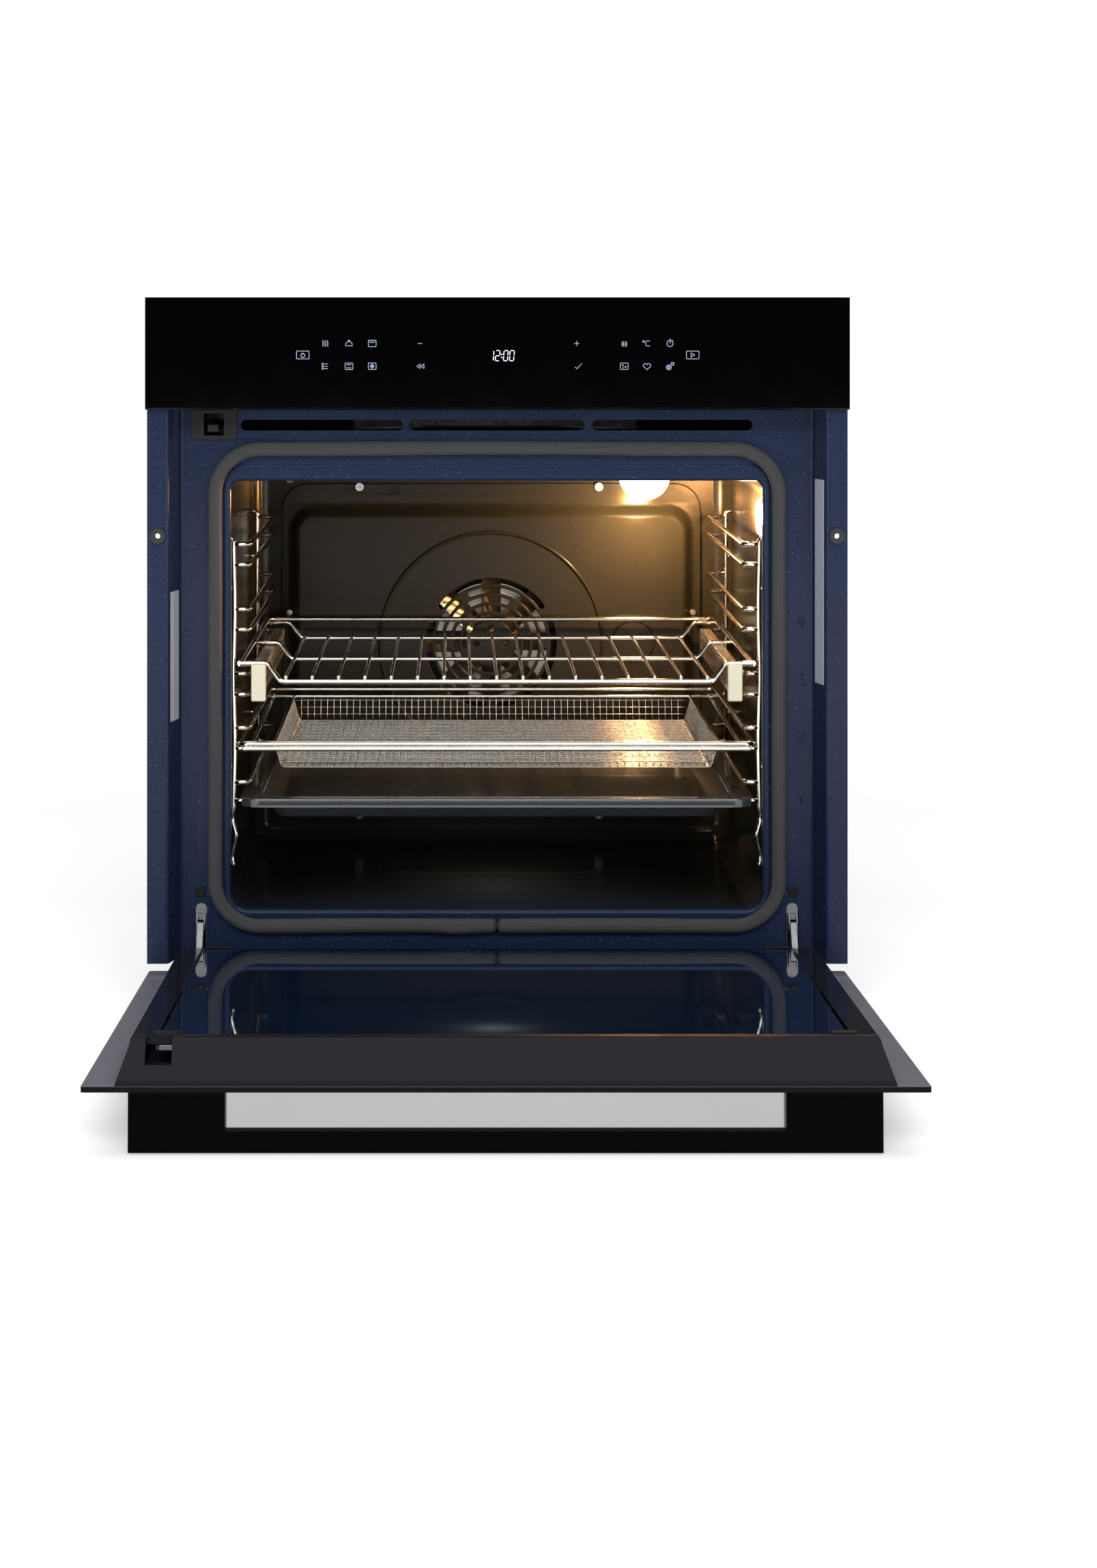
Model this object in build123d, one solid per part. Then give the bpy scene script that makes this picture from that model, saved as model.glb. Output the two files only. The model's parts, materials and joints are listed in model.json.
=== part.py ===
from build123d import *

import math
import os

# A built-in wall oven, 595 mm wide and high, with its door open and its shelves in.
# Millimetres. +X is to the right seen from the front, +Y goes into the wall and +Z is up. The origin
# is the centre of the underside of the base. A "depth" is measured back from the front face of the
# control glass, so y = FRONT + depth.

os.makedirs("parts", exist_ok=True)

# Outside
WIDTH = 595.0
HEIGHT = 595.0
GLASS = 4.0
BODY_FRONT = 10.0
BODY_BACK = 548.0
BODY_HALF = 277.0
BODY_TOP = 580.0
FRONT = -(BODY_FRONT + BODY_BACK) / 2
SHEET = 1.0
SHELL_FRONT = 44.0  # the side panels and the top start here, behind the front frame
PANEL_BOTTOM = 500.0

# Front frame: an outer flange, a slanted step and the recessed plate round the mouth
FRAME_SHEET = 1.2
FLANGE_HALF = 296.7
FLANGE_DEPTH = 8.0
STEP_OUTER = 278.5
STEP_INNER = 271.0
RECESS = 42.0
FRAME_BOTTOM = 31.0
FRAME_TOP = 586.0
FRAME_SCREW_X = 254.0
FRAME_SCREW_Z = 86.5
FRAME_SCREW_R = 2.05
CABINET_SCREW_X = 287.5
CABINET_SCREW_Z = 393.0
GROMMET_BORE = 2.3
GROMMET_NECK = 3.4

# Cavity
MOUTH_HALF = 228.0
MOUTH_BOTTOM = 70.6
MOUTH_TOP = 437.9
MOUTH_LIP = 48.0
CAVITY_HALF = 238.0
CAVITY_FLOOR = 58.0
CAVITY_CEILING = 440.0
BACK_WALL = 472.0
CAVITY_CORNER = 20.0
FAN_POCKET_HALF = 185.0
FAN_POCKET_BOTTOM = 95.0
FAN_POCKET_TOP = 378.0
FAN_POCKET_BACK = 500.0
FAN_Z = 255.0
SHAFT = 4.0
SHAFT_HOLE = 7.0
RING_R = 98.0
RING_LEG_X = 16.0
GRILL_LEG_X = 20.0
SENSOR = (-200.0, 418.0)  # x and height
OUTLET = (-60.0, 200.0)  # x and depth

# Fan cover
COVER_HALF = 208.5
COVER_BOTTOM = 77.0
COVER_TOP = 413.7
COVER_FLANGE = 469.0
RAISED_HALF = 193.5
RAISED_BOTTOM = 92.0
RAISED_TOP = 384.0
RAISED_FACE = 461.0
GRILLE_RINGS = ((62.0, 3, 30.0), (53.0, 3, 0.0), (44.0, 3, 60.0), (35.0, 3, 20.0), (26.0, 3, 80.0))
GRILLE_SLOT = 5.4
GRILLE_RIB_ARC = 9.0  # arc length of solid metal between two slots of a ring
COVER_SCREWS = ((-131.0, 410.0), (107.0, 410.0), (-131.0, 84.0), (107.0, 84.0))
COVER_STUDS = ((-200.0, 286.0), (200.0, 286.0))

# Gasket round the mouth
GASKET_R = 6.0
GASKET_HALF = 241.0
GASKET_BOTTOM = 57.7
GASKET_TOP = 466.0
GASKET_CORNER = 39.0

# Side racks: an upper and a lower rail for each of the five levels
RAIL_PAIRS = ((382.0, 364.5), (326.0, 308.5), (270.5, 252.5), (223.7, 206.0), (176.8, 161.0))
RAIL_X = 213.5
RAIL_R = 2.2
RACK_FRONT = 62.0
RACK_BACK = 440.0
UPRIGHT_FRONT_X = 227.0
UPRIGHT_BACK_X = 231.0
UPRIGHT_R = 2.5

# Telescopic runners at the third level
RUNNER_IN = 201.0
RUNNER_OUT = 210.6
RUNNER_BOTTOM = 252.0
RUNNER_TOP = 277.2
RUNNER_CAP_IN = 198.0
RUNNER_FRONT = 45.0
RUNNER_BACK = 391.0

# Wire shelf
SHELF_HALF = 221.0
SHELF_Z = 280.0
SHELF_R = 2.5
SHELF_FRONT = 55.0
SHELF_BACK = 453.0
SHELF_LOW_Z = 264.4
SHELF_BARS = ((SHELF_FRONT, 2.5), (230.0, 2.0), (418.0, 2.0))
BEND_IN = 186.0
BEND_OUT = 198.0
CROSS_WIRES = 17
CROSS_PITCH = 22.7
CROSS_R = 1.4

# Basket
BASKET_HALF = 222.0
BASKET_Z = 210.6
BASKET_R = 2.0
BASKET_LOW_BAR = 206.4
MESH_TOP = 208.9
MESH_RIM_R = 1.5
MESH_FLOOR = 188.0
MESH_TOP_HALF = 192.0
MESH_FLOOR_HALF = 186.0
MESH_FRONT = 60.0
MESH_BACK = 396.0
MESH_WALL = 1.6

# Baking tray
TRAY_HALF = 222.0
TRAY_FRONT = 50.0
TRAY_BACK = 450.0
TRAY_RIM_Z = 163.4
TRAY_BOTTOM = 145.5
TRAY_WELL_HALF = 200.0
TRAY_SHEET = 1.0
TRAY_CORNER = 18.0

# Door, drawn closed and then turned open about its hinge pins
DOOR_OPEN_DEG = 87.5
PIVOT_DEPTH = 14.0
PIVOT_Z = 30.0
DOOR_BOTTOM = 6.0
DOOR_TOP = 496.0
INNER_GLASS_BACK = 29.6
INNER_GLASS_HALF = 247.0
INNER_GLASS_BOTTOM = 50.0
INNER_GLASS_TOP = 478.0
RAIL_IN = 247.5
RAIL_OUT = 266.0
RAIL_DEEP = 32.0
TRIM_DEEP = 37.0
TRIM_BASE_HALF = 274.0
TRIM_CREST_HALF = 262.0
POCKET = (-253.0, -234.5, 476.5, 491.5)
HANDLE_HALF = 266.0
HANDLE_OUT = 46.0
HANDLE_BAR = 15.0
HANDLE_BRACKET = 68.5
HANDLE_BOTTOM = 462.0
HANDLE_TOP = 478.0
HANDLE_SCREW_X = 232.0
HANDLE_SCREW_Z = 470.0
HANDLE_SCREW_R = 2.5

# Hinges
HINGE_X = 253.4
ARM_THICK = 5.0
PIN_R = 3.0
PIN_GAP = 0.05
SLOT_HALF = 4.85
SLOT_BOTTOM = 36.0
SLOT_TOP = 76.0
LEVER_DEPTH = 37.0
LEVER_Z = 57.0

# Lamps
LAMP_X = 148.0
LAMP_DEPTH = 395.0
LAMP_R = 25.0
LAMP_BOTTOM = 401.0
SIDE_LAMP_DEPTH = 130.0
SIDE_LAMP_Z = 401.0
SIDE_LAMP_R = 16.0
GRILL_Z = 433.5

# Cooling blower above the cavity
BLOWER_DEPTH = 345.0
BLOWER_R = 78.0
BLOWER_BOTTOM = 484.0
BLOWER_TOP = 540.0
DUCT_HALF = 221.0
DUCT_BOTTOM = 477.0
DUCT_TOP = 494.0


def block(x0, x1, d0, d1, z0, z1):
    """A box between two x values, two depths and two heights."""
    centre = Pos((x0 + x1) / 2, FRONT + (d0 + d1) / 2, (z0 + z1) / 2)
    return centre * Box(x1 - x0, d1 - d0, z1 - z0)


def front_plate(outline, d0, d1):
    """A sketch drawn in the front view (x, height), extruded from depth d0 back to depth d1."""
    plane = Plane((0, FRONT + d1, 0), x_dir=(1, 0, 0), z_dir=(0, -1, 0))
    return extrude(plane * outline, amount=d1 - d0)


def side_plate(points, x0, x1):
    """An outline of (depth, height) points, extruded from x0 to x1."""
    plane = Plane((x0, FRONT, 0), x_dir=(0, 1, 0), z_dir=(1, 0, 0))
    return extrude(plane * make_face(Polyline(*points, close=True)), amount=x1 - x0)


def plan_plate(points, z0, z1):
    """An outline of (x, depth) points, extruded from z0 up to z1."""
    return extrude(Plane((0, FRONT, z0)) * make_face(Polyline(*points, close=True)), amount=z1 - z0)


def rounded(x0, x1, z0, z1, radius):
    """A rounded rectangle in the front view."""
    return Pos((x0 + x1) / 2, (z0 + z1) / 2) * RectangleRounded(x1 - x0, z1 - z0, radius)


def rod_x(depth, z, radius, x0, x1):
    """A cylinder along X."""
    plane = Plane((x0, FRONT + depth, z), x_dir=(0, 1, 0), z_dir=(1, 0, 0))
    return extrude(plane * Circle(radius), amount=x1 - x0)


def rod_y(x, z, radius, d0, d1):
    """A cylinder along Y."""
    return front_plate(Pos(x, z) * Circle(radius), d0, d1)


def rod_z(x, depth, radius, z0, z1):
    """A cylinder along Z."""
    return Pos(x, FRONT + depth, (z0 + z1) / 2) * Cylinder(radius, z1 - z0)


def wire(points, radius, bend, close=False):
    """A round rod through (x, depth, height) points, with each corner bent to the radius given."""
    at = [(x, FRONT + depth, z) for x, depth, z in points]
    path = FilletPolyline(*at, radius=bend, close=close) if len(at) > 2 else Line(*at)
    return sweep(Plane(path @ 0, z_dir=path % 0) * Circle(radius), path=path)


def mirrored(shape):
    """The left-hand twin of a right-hand piece."""
    return mirror(shape, about=Plane.YZ)


def opened(shape):
    """A door piece, drawn closed, turned open about the hinge pins."""
    return shape.rotate(Axis((0, FRONT + PIVOT_DEPTH, PIVOT_Z), (1, 0, 0)), DOOR_OPEN_DEG)


# Outer casing


def base_plate():
    """The base: a tray with low side flanges and an upturned front strip behind the frame."""
    floor = block(-BODY_HALF, BODY_HALF, BODY_FRONT, BODY_BACK, 0, SHEET)
    strip = block(-236, 236, RECESS + FRAME_SHEET + 0.2, RECESS + FRAME_SHEET + 1.2, SHEET, 44)
    side = block(BODY_HALF - 2.2, BODY_HALF - 1.2, SHELL_FRONT + 6, BODY_BACK - 2, SHEET, 14)
    plate = floor + strip + side + mirrored(side)
    for x in (-180, -60, 60, 180):
        for depth in (150, 250, 350, 450):
            plate -= rod_z(x, depth, 6, -1, SHEET + 1)
    return [plate]


def side_panel():
    """The right side panel: a sheet with a return flange under the top cover."""
    sheet = block(BODY_HALF - SHEET, BODY_HALF, SHELL_FRONT, BODY_BACK - SHEET, SHEET, BODY_TOP - SHEET)
    under_cover = (BODY_TOP - 2 * SHEET, BODY_TOP - SHEET)
    flange = block(BODY_HALF - 12, BODY_HALF - SHEET, SHELL_FRONT, BODY_BACK - SHEET, *under_cover)
    panel = sheet + flange
    for row in range(4):
        low = 500 + 14 * row
        panel -= block(BODY_HALF - 1.5, BODY_HALF + 1, 380, 470, low, low + 6)
    return panel


def top_cover():
    """The top sheet, slotted over the blower."""
    cover = block(-BODY_HALF, BODY_HALF, SHELL_FRONT, BODY_BACK, BODY_TOP - SHEET, BODY_TOP)
    for row in range(8):
        depth = 400 + 14 * row
        cover -= block(-120, 120, depth, depth + 6, BODY_TOP - 2, BODY_TOP + 1)
    return [cover]


def rear_cover():
    """The back sheet, with air slots and an opening behind the mains terminals."""
    cover = block(-BODY_HALF, BODY_HALF, BODY_BACK - SHEET, BODY_BACK, SHEET, BODY_TOP - SHEET)
    for column in (-150, 0, 150):
        for row in range(5):
            low = 60 + 16 * row
            cover -= block(column - 45, column + 45, BODY_BACK - 2, BODY_BACK + 1, low, low + 7)
    cover -= block(-245, -185, BODY_BACK - 2, BODY_BACK + 1, 506, 546)
    return [cover]


def front_frame():
    """The enamelled front: flanges, slanted steps and the plate with the mouth, vents and slots."""
    right = [(FLANGE_HALF, FLANGE_DEPTH), (STEP_OUTER, FLANGE_DEPTH), (STEP_INNER, RECESS)]
    back = [
        (STEP_INNER + FRAME_SHEET, RECESS + FRAME_SHEET),
        (STEP_OUTER + FRAME_SHEET, FLANGE_DEPTH + FRAME_SHEET),
        (FLANGE_HALF, FLANGE_DEPTH + FRAME_SHEET),
    ]
    left_back = [(-x, depth) for x, depth in reversed(back)]
    left = [(-x, depth) for x, depth in reversed(right)]
    frame = plan_plate(right + left + left_back + back, FRAME_BOTTOM, FRAME_TOP)
    through = (RECESS - 1, RECESS + FRAME_SHEET + 1)
    frame -= front_plate(mouth_outline(0), *through)
    collar = front_plate(mouth_outline(FRAME_SHEET), RECESS, MOUTH_LIP)
    frame += collar - front_plate(mouth_outline(0), RECESS - 1, MOUTH_LIP + 1)
    for x0, x1 in ((-219.4, -81.0), (-75.0, 75.0), (82.0, 219.0)):
        frame -= front_plate(rounded(x0, x1, 481.4, 490.0, 4.2), *through)
    frame -= front_plate(rounded(-260.5, -223.7, 474.7, 508, 3), *through)
    for side in (-1, 1):
        x = side * HINGE_X
        frame -= front_plate(rounded(x - SLOT_HALF, x + SLOT_HALF, SLOT_BOTTOM, SLOT_TOP, 2), *through)
        frame -= rod_y(side * FRAME_SCREW_X, FRAME_SCREW_Z, FRAME_SCREW_R + 0.05, *through)
        place = (side * CABINET_SCREW_X, CABINET_SCREW_Z)
        frame -= rod_y(*place, GROMMET_NECK, FLANGE_DEPTH - 1, FLANGE_DEPTH + 3)
    return [frame]


def mouth_outline(grow):
    """The mouth's outline in the front view, grown outward: tight corners above, wider ones below."""
    half = MOUTH_HALF + grow
    low = MOUTH_BOTTOM - grow
    high = MOUTH_TOP + grow
    whole = rounded(-half, half, low, high, 8 + grow)
    lower = rounded(-half, half, low, high - 60, 15 + grow)
    upper = Pos(0, (low + 60 + high) / 2) * Rectangle(2 * half, high - low - 60)
    return whole & (lower + upper)


def mounting_grommets():
    """Two rubber grommets in the flange holes that take the cabinet screws."""
    grommets = []
    for side in (-1, 1):
        x = side * CABINET_SCREW_X
        head = rod_y(x, CABINET_SCREW_Z, 6.75, FLANGE_DEPTH - 2, FLANGE_DEPTH)
        neck = rod_y(x, CABINET_SCREW_Z, GROMMET_NECK - 0.02, FLANGE_DEPTH, FLANGE_DEPTH + FRAME_SHEET)
        collar = rod_y(x, CABINET_SCREW_Z, 5.5, FLANGE_DEPTH + FRAME_SHEET, FLANGE_DEPTH + FRAME_SHEET + 2)
        bore = rod_y(x, CABINET_SCREW_Z, GROMMET_BORE, FLANGE_DEPTH - 4, FLANGE_DEPTH + 8)
        grommets.append(head + neck + collar - bore)
    return grommets


def side_labels():
    """Two blank stickers on the slanted steps: a long one on the right, a short one on the left."""
    slope = (STEP_INNER - STEP_OUTER) / (RECESS - FLANGE_DEPTH)
    labels = []
    for side, low, high in ((1, 266.0, 440.0), (-1, 235.0, 345.0)):
        points = []
        for depth, lift in ((14, 0.05), (36, 0.05), (36, 0.3), (14, 0.3)):
            x = STEP_OUTER + slope * (depth - FLANGE_DEPTH) - lift
            points.append((side * x, depth))
        labels.append(plan_plate(points, low, high))
    return labels


# Cavity


def cavity_liner():
    """The enamelled box, with rounded corners, a pocket for the fan and a raised panel in its floor."""
    wall = SHEET

    def shell(grow):
        """The room inside the liner when grow is 0, and its outside when grow is the wall."""
        half = CAVITY_HALF + grow
        outline = rounded(-half, half, CAVITY_FLOOR - grow, CAVITY_CEILING + grow, CAVITY_CORNER + grow)
        room = front_plate(outline, MOUTH_LIP + wall - grow, BACK_WALL + grow)
        room = fillet(room.faces().sort_by(Axis.Y)[-1].edges(), CAVITY_CORNER - 2 + grow)
        half = FAN_POCKET_HALF + grow
        pocket = rounded(-half, half, FAN_POCKET_BOTTOM - grow, FAN_POCKET_TOP + grow, 24 + grow)
        return room + front_plate(pocket, BACK_WALL - 2, FAN_POCKET_BACK + grow)

    liner = shell(wall) - shell(0)
    liner -= front_plate(mouth_outline(0), MOUTH_LIP - 1, MOUTH_LIP + wall + 1)
    liner += block(-102, 102, 286, 364, CAVITY_FLOOR, CAVITY_FLOOR + 1.6)
    liner -= rod_y(0, FAN_Z, SHAFT_HOLE, FAN_POCKET_BACK - 2, FAN_POCKET_BACK + 3)
    for side in (-1, 1):
        ring_leg = rod_y(side * RING_LEG_X, FAN_Z - RING_R, 3.6, FAN_POCKET_BACK - 2, FAN_POCKET_BACK + 3)
        grill_leg = rod_y(side * GRILL_LEG_X, GRILL_Z, 3.4, BACK_WALL - CAVITY_CORNER, BACK_WALL + 3)
        liner -= ring_leg + grill_leg
    liner -= rod_z(LAMP_X, LAMP_DEPTH, LAMP_R - 1, CAVITY_CEILING - 2, CAVITY_CEILING + 3)
    liner -= rod_z(*OUTLET, 10, CAVITY_CEILING - 2, CAVITY_CEILING + 3)
    liner -= rod_x(SIDE_LAMP_DEPTH, SIDE_LAMP_Z, SIDE_LAMP_R - 3, CAVITY_HALF - 2, CAVITY_HALF + 3)
    liner -= rod_y(*SENSOR, 2.6, BACK_WALL - 2, BACK_WALL + 3)
    return [liner]


def fan_cover():
    """The pressed cover in front of the fan: a flange, a raised panel, a ring and a slotted intake."""
    edge = rounded(-COVER_HALF, COVER_HALF, COVER_BOTTOM, COVER_TOP, 26)
    flange = front_plate(edge, COVER_FLANGE, COVER_FLANGE + 1)
    outer = rounded(-RAISED_HALF, RAISED_HALF, RAISED_BOTTOM, RAISED_TOP, 18)
    inner = rounded(-RAISED_HALF + 1, RAISED_HALF - 1, RAISED_BOTTOM + 1, RAISED_TOP - 1, 17)
    cover = flange + front_plate(outer, RAISED_FACE, COVER_FLANGE + 1)
    cover -= front_plate(inner, RAISED_FACE + 1, COVER_FLANGE + 2)
    ring = Circle(112.5) - Circle(108.0)
    small_ring = Circle(21.5) - Circle(19.0)
    cover += front_plate(Pos(0, FAN_Z) * ring, RAISED_FACE - 0.8, RAISED_FACE)
    cover += front_plate(Pos(141, 258) * small_ring, RAISED_FACE - 0.8, RAISED_FACE)
    cover -= front_plate(Pos(0, FAN_Z) * grille_outline(), RAISED_FACE - 2, RAISED_FACE + 2)
    cover -= block(-114, -91, COVER_FLANGE - 1, COVER_FLANGE + 2, 403, COVER_TOP + 1)
    for x, z in COVER_SCREWS + COVER_STUDS:
        cover -= rod_y(x, z, 1.9, COVER_FLANGE - 1, COVER_FLANGE + 2)
    return [cover]


def grille_outline():
    """The intake slots: rings of arc slots, three to a ring, round a plain hub with small holes."""
    slots = Sketch()
    for radius, count, start in GRILLE_RINGS:
        gap = math.degrees((GRILLE_RIB_ARC + GRILLE_SLOT) / radius)
        for turn in range(count):
            arc = CenterArc((0, 0), radius, start + 360 / count * turn + gap / 2, 360 / count - gap)
            slots += SlotArc(arc, height=GRILLE_SLOT)
    slots += PolarLocations(15, 4) * Circle(3.2)
    return slots


def cavity_fasteners():
    """The four screws and two studs that hold the fan cover against the back wall."""
    pieces = []
    for x, z in COVER_SCREWS:
        head = rod_y(x, z, 4.2, COVER_FLANGE - 2.2, COVER_FLANGE)
        slot = block(x - 2.6, x + 2.6, COVER_FLANGE - 3, COVER_FLANGE - 1.2, z - 0.5, z + 0.5)
        cross = block(x - 0.5, x + 0.5, COVER_FLANGE - 3, COVER_FLANGE - 1.2, z - 2.6, z + 2.6)
        pieces.append(head - slot - cross + rod_y(x, z, 1.8, COVER_FLANGE, BACK_WALL))
    for x, z in COVER_STUDS:
        stud = rod_y(x, z, 2.8, COVER_FLANGE - 11, COVER_FLANGE)
        pieces.append(stud + rod_y(x, z, 1.8, COVER_FLANGE, BACK_WALL))
    return pieces


def convection_fan():
    """Hub, shaft, back disc and eight pitched blades, turning about Y."""
    fan = rod_y(0, FAN_Z, 11, 468, 494) + rod_y(0, FAN_Z, 58, 491, 492) + rod_y(0, FAN_Z, SHAFT, 492, 535)
    for turn in range(8):
        blade = Pos(0, 0, 38) * Rot(0, 0, 42) * Box(25, 1.2, 62)
        fan += Pos(0, FRONT + 481, FAN_Z) * Rot(0, 45 * turn, 0) * blade
    return [fan]


def fan_motor():
    """The fan's motor on its bracket behind the liner, with a clear bore for the shaft."""
    motor = rod_y(0, FAN_Z, 36, 507, 538)
    bracket = block(-58, 58, 505, 507, FAN_Z - 14, FAN_Z + 14)
    return [motor + bracket - rod_y(0, FAN_Z, SHAFT + PIN_GAP, 500, 536)]


def ring_element():
    """The heating ring round the fan, with two legs through the liner."""
    ring = Pos(0, FRONT + 480, FAN_Z) * Rot(90, 0, 0) * Torus(RING_R, 3.3)
    for side in (-1, 1):
        ring += rod_y(side * RING_LEG_X, FAN_Z - RING_R, 3.3, 481, 520)
    return [ring]


def grill_element():
    """The grill under the ceiling: a folded rod whose two ends leave through the back wall."""
    plan = [(-GRILL_LEG_X, 490), (-GRILL_LEG_X, 345), (-170, 345), (-170, 205), (-115, 205)]
    plan += [(-115, 305), (-65, 305), (-65, 205)]
    left = [(x, depth, GRILL_Z) for x, depth in plan]
    right = [(-x, depth, z) for x, depth, z in reversed(left)]
    return [wire(left + right, 3.2, 14)]


def bottom_element():
    """The base element: a folded rod under the cavity floor."""
    plan = [(-26, 486), (-26, 440), (-190, 440), (-190, 110), (-70, 110), (-70, 370)]
    left = [(x, depth, CAVITY_FLOOR - 6.5) for x, depth in plan]
    right = [(-x, depth, z) for x, depth, z in reversed(left)]
    return [wire(left + right, 3.2, 18)]


def insulation_wrap():
    """Mineral wool slabs on the sides, top, bottom and back of the liner."""
    slab = block(240, 268, 90, 502, 44, 466)
    side_lamp = rod_x(SIDE_LAMP_DEPTH, SIDE_LAMP_Z, SIDE_LAMP_R + 6, 238, 270)
    top = block(-239, 239, 60, 502, 443, 467) - rod_z(LAMP_X, LAMP_DEPTH, 33, 440, 470)
    top -= rod_z(*OUTLET, 14, 440, 470)
    bottom = block(-239, 239, 60, 502, 22, 46)
    back = block(-239, 239, 503, 524, 44, 440) - rod_y(0, FAN_Z, 62, 500, 530)
    for side in (-1, 1):
        back -= rod_y(side * RING_LEG_X, FAN_Z - RING_R, 8, 500, 530)
    return [slab - side_lamp, mirrored(slab), top, bottom, back]


def lamp_housings():
    """The metal cups of the ceiling lamp and the side lamp, each with its bezel ring."""
    cup = rod_z(LAMP_X, LAMP_DEPTH, 30, CAVITY_CEILING + SHEET, 474) - rod_z(LAMP_X, LAMP_DEPTH, 28, 440, 472)
    bezel = rod_z(LAMP_X, LAMP_DEPTH, 31, 436.5, CAVITY_CEILING)
    bezel -= rod_z(LAMP_X, LAMP_DEPTH, LAMP_R + 0.3, 436, 442)
    x = CAVITY_HALF + SHEET
    side_cup = rod_x(SIDE_LAMP_DEPTH, SIDE_LAMP_Z, 18, x, 262)
    side_cup -= rod_x(SIDE_LAMP_DEPTH, SIDE_LAMP_Z, 16.5, x - 1, 260)
    side_bezel = rod_x(SIDE_LAMP_DEPTH, SIDE_LAMP_Z, SIDE_LAMP_R + 2.5, 235.5, CAVITY_HALF)
    side_bezel -= rod_x(SIDE_LAMP_DEPTH, SIDE_LAMP_Z, SIDE_LAMP_R + 0.3, 235, 240)
    return [cup, bezel, side_cup, side_bezel]


def lamp_lenses():
    """The glass dome under the ceiling and the flat-domed glass in the right wall."""

    def dome(radius, low):
        """A cylinder ending in a half ball, its lowest point at the height given."""
        middle = low + radius
        ball = Pos(LAMP_X, FRONT + LAMP_DEPTH, middle) * Sphere(radius)
        return ball + rod_z(LAMP_X, LAMP_DEPTH, radius, middle, CAVITY_CEILING)

    above = rod_z(LAMP_X, LAMP_DEPTH, LAMP_R + 10, CAVITY_CEILING, CAVITY_CEILING + 2 * LAMP_R)
    lens = dome(LAMP_R, LAMP_BOTTOM) - dome(LAMP_R - 2.5, LAMP_BOTTOM + 2.5) - above
    side = rod_x(SIDE_LAMP_DEPTH, SIDE_LAMP_Z, SIDE_LAMP_R, 231.5, CAVITY_HALF)
    side = fillet(side.faces().sort_by(Axis.X)[0].edges(), 4)
    side -= rod_x(SIDE_LAMP_DEPTH, SIDE_LAMP_Z, SIDE_LAMP_R - 3, 234.5, CAVITY_HALF + 1)
    return [lens, side]


def lamp_bulbs():
    """The two halogen capsules in their ceramic sockets."""
    upright = rod_z(LAMP_X, LAMP_DEPTH, 6, 408, 436) + rod_z(LAMP_X, LAMP_DEPTH, 10, 436, 466)
    flat = rod_x(SIDE_LAMP_DEPTH, SIDE_LAMP_Z, 5, 236, 246) + rod_x(SIDE_LAMP_DEPTH, SIDE_LAMP_Z, 9, 246, 258)
    return [upright, flat]


def temperature_sensor():
    """The probe through the back wall, high on the left."""
    return [rod_y(*SENSOR, 2.4, 440, 486) + rod_y(*SENSOR, 4, BACK_WALL - 1.5, BACK_WALL)]


def door_gasket():
    """The braided tube round the mouth, one closed loop against the recessed plate."""
    depth = RECESS - GASKET_R - 0.05
    corners = (
        (-GASKET_HALF, depth, GASKET_BOTTOM),
        (GASKET_HALF, depth, GASKET_BOTTOM),
        (GASKET_HALF, depth, GASKET_TOP),
        (-GASKET_HALF, depth, GASKET_TOP),
    )
    return [wire(corners, GASKET_R, GASKET_CORNER, close=True)]


# Racks, runners, shelf, basket and tray


def side_rack():
    """The right rack: two uprights, five pairs of rails bent inward, and feet against the wall."""
    sway = 1.6
    tail = [(UPRIGHT_FRONT_X + sway * (-1) ** step, RACK_FRONT, 150 - 11 * step) for step in range(5)]
    head = [(UPRIGHT_FRONT_X, RACK_FRONT, 390), (UPRIGHT_FRONT_X, RACK_FRONT, 156)]
    front = wire(head + tail, UPRIGHT_R, 5)
    back = wire([(UPRIGHT_BACK_X, RACK_BACK, 392), (UPRIGHT_BACK_X, RACK_BACK, 152)], UPRIGHT_R, 5)
    rack = front + back
    for pair in RAIL_PAIRS:
        for z in pair:
            reach = [
                (UPRIGHT_FRONT_X, RACK_FRONT, z),
                (RAIL_X, RACK_FRONT, z),
                (RAIL_X, RACK_BACK, z),
                (UPRIGHT_BACK_X, RACK_BACK, z),
            ]
            rack += wire(reach, RAIL_R, 6)
    for x, depth in ((UPRIGHT_FRONT_X, RACK_FRONT), (UPRIGHT_BACK_X, RACK_BACK)):
        for z in (344, 190):
            rack += rod_x(depth, z, 1.8, x, CAVITY_HALF - 0.05)
    return rack


def runner_rail():
    """The fixed half of the right runner: a channel open to the middle, clipped to the rack's rails."""
    channel = block(RUNNER_IN + 2.6, RUNNER_OUT, RUNNER_FRONT + 4, RUNNER_BACK, RUNNER_BOTTOM, 273.6)
    room = (RUNNER_IN + 1, RUNNER_OUT - 1.2, RUNNER_FRONT, RUNNER_BACK + 1)
    channel -= block(*room, RUNNER_BOTTOM + 1.2, 272.4)
    for depth in (90, 340):
        channel += block(RUNNER_OUT, RAIL_X - RAIL_R - 0.1, depth, depth + 22, RUNNER_BOTTOM + 2, 271)
    return channel


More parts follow.
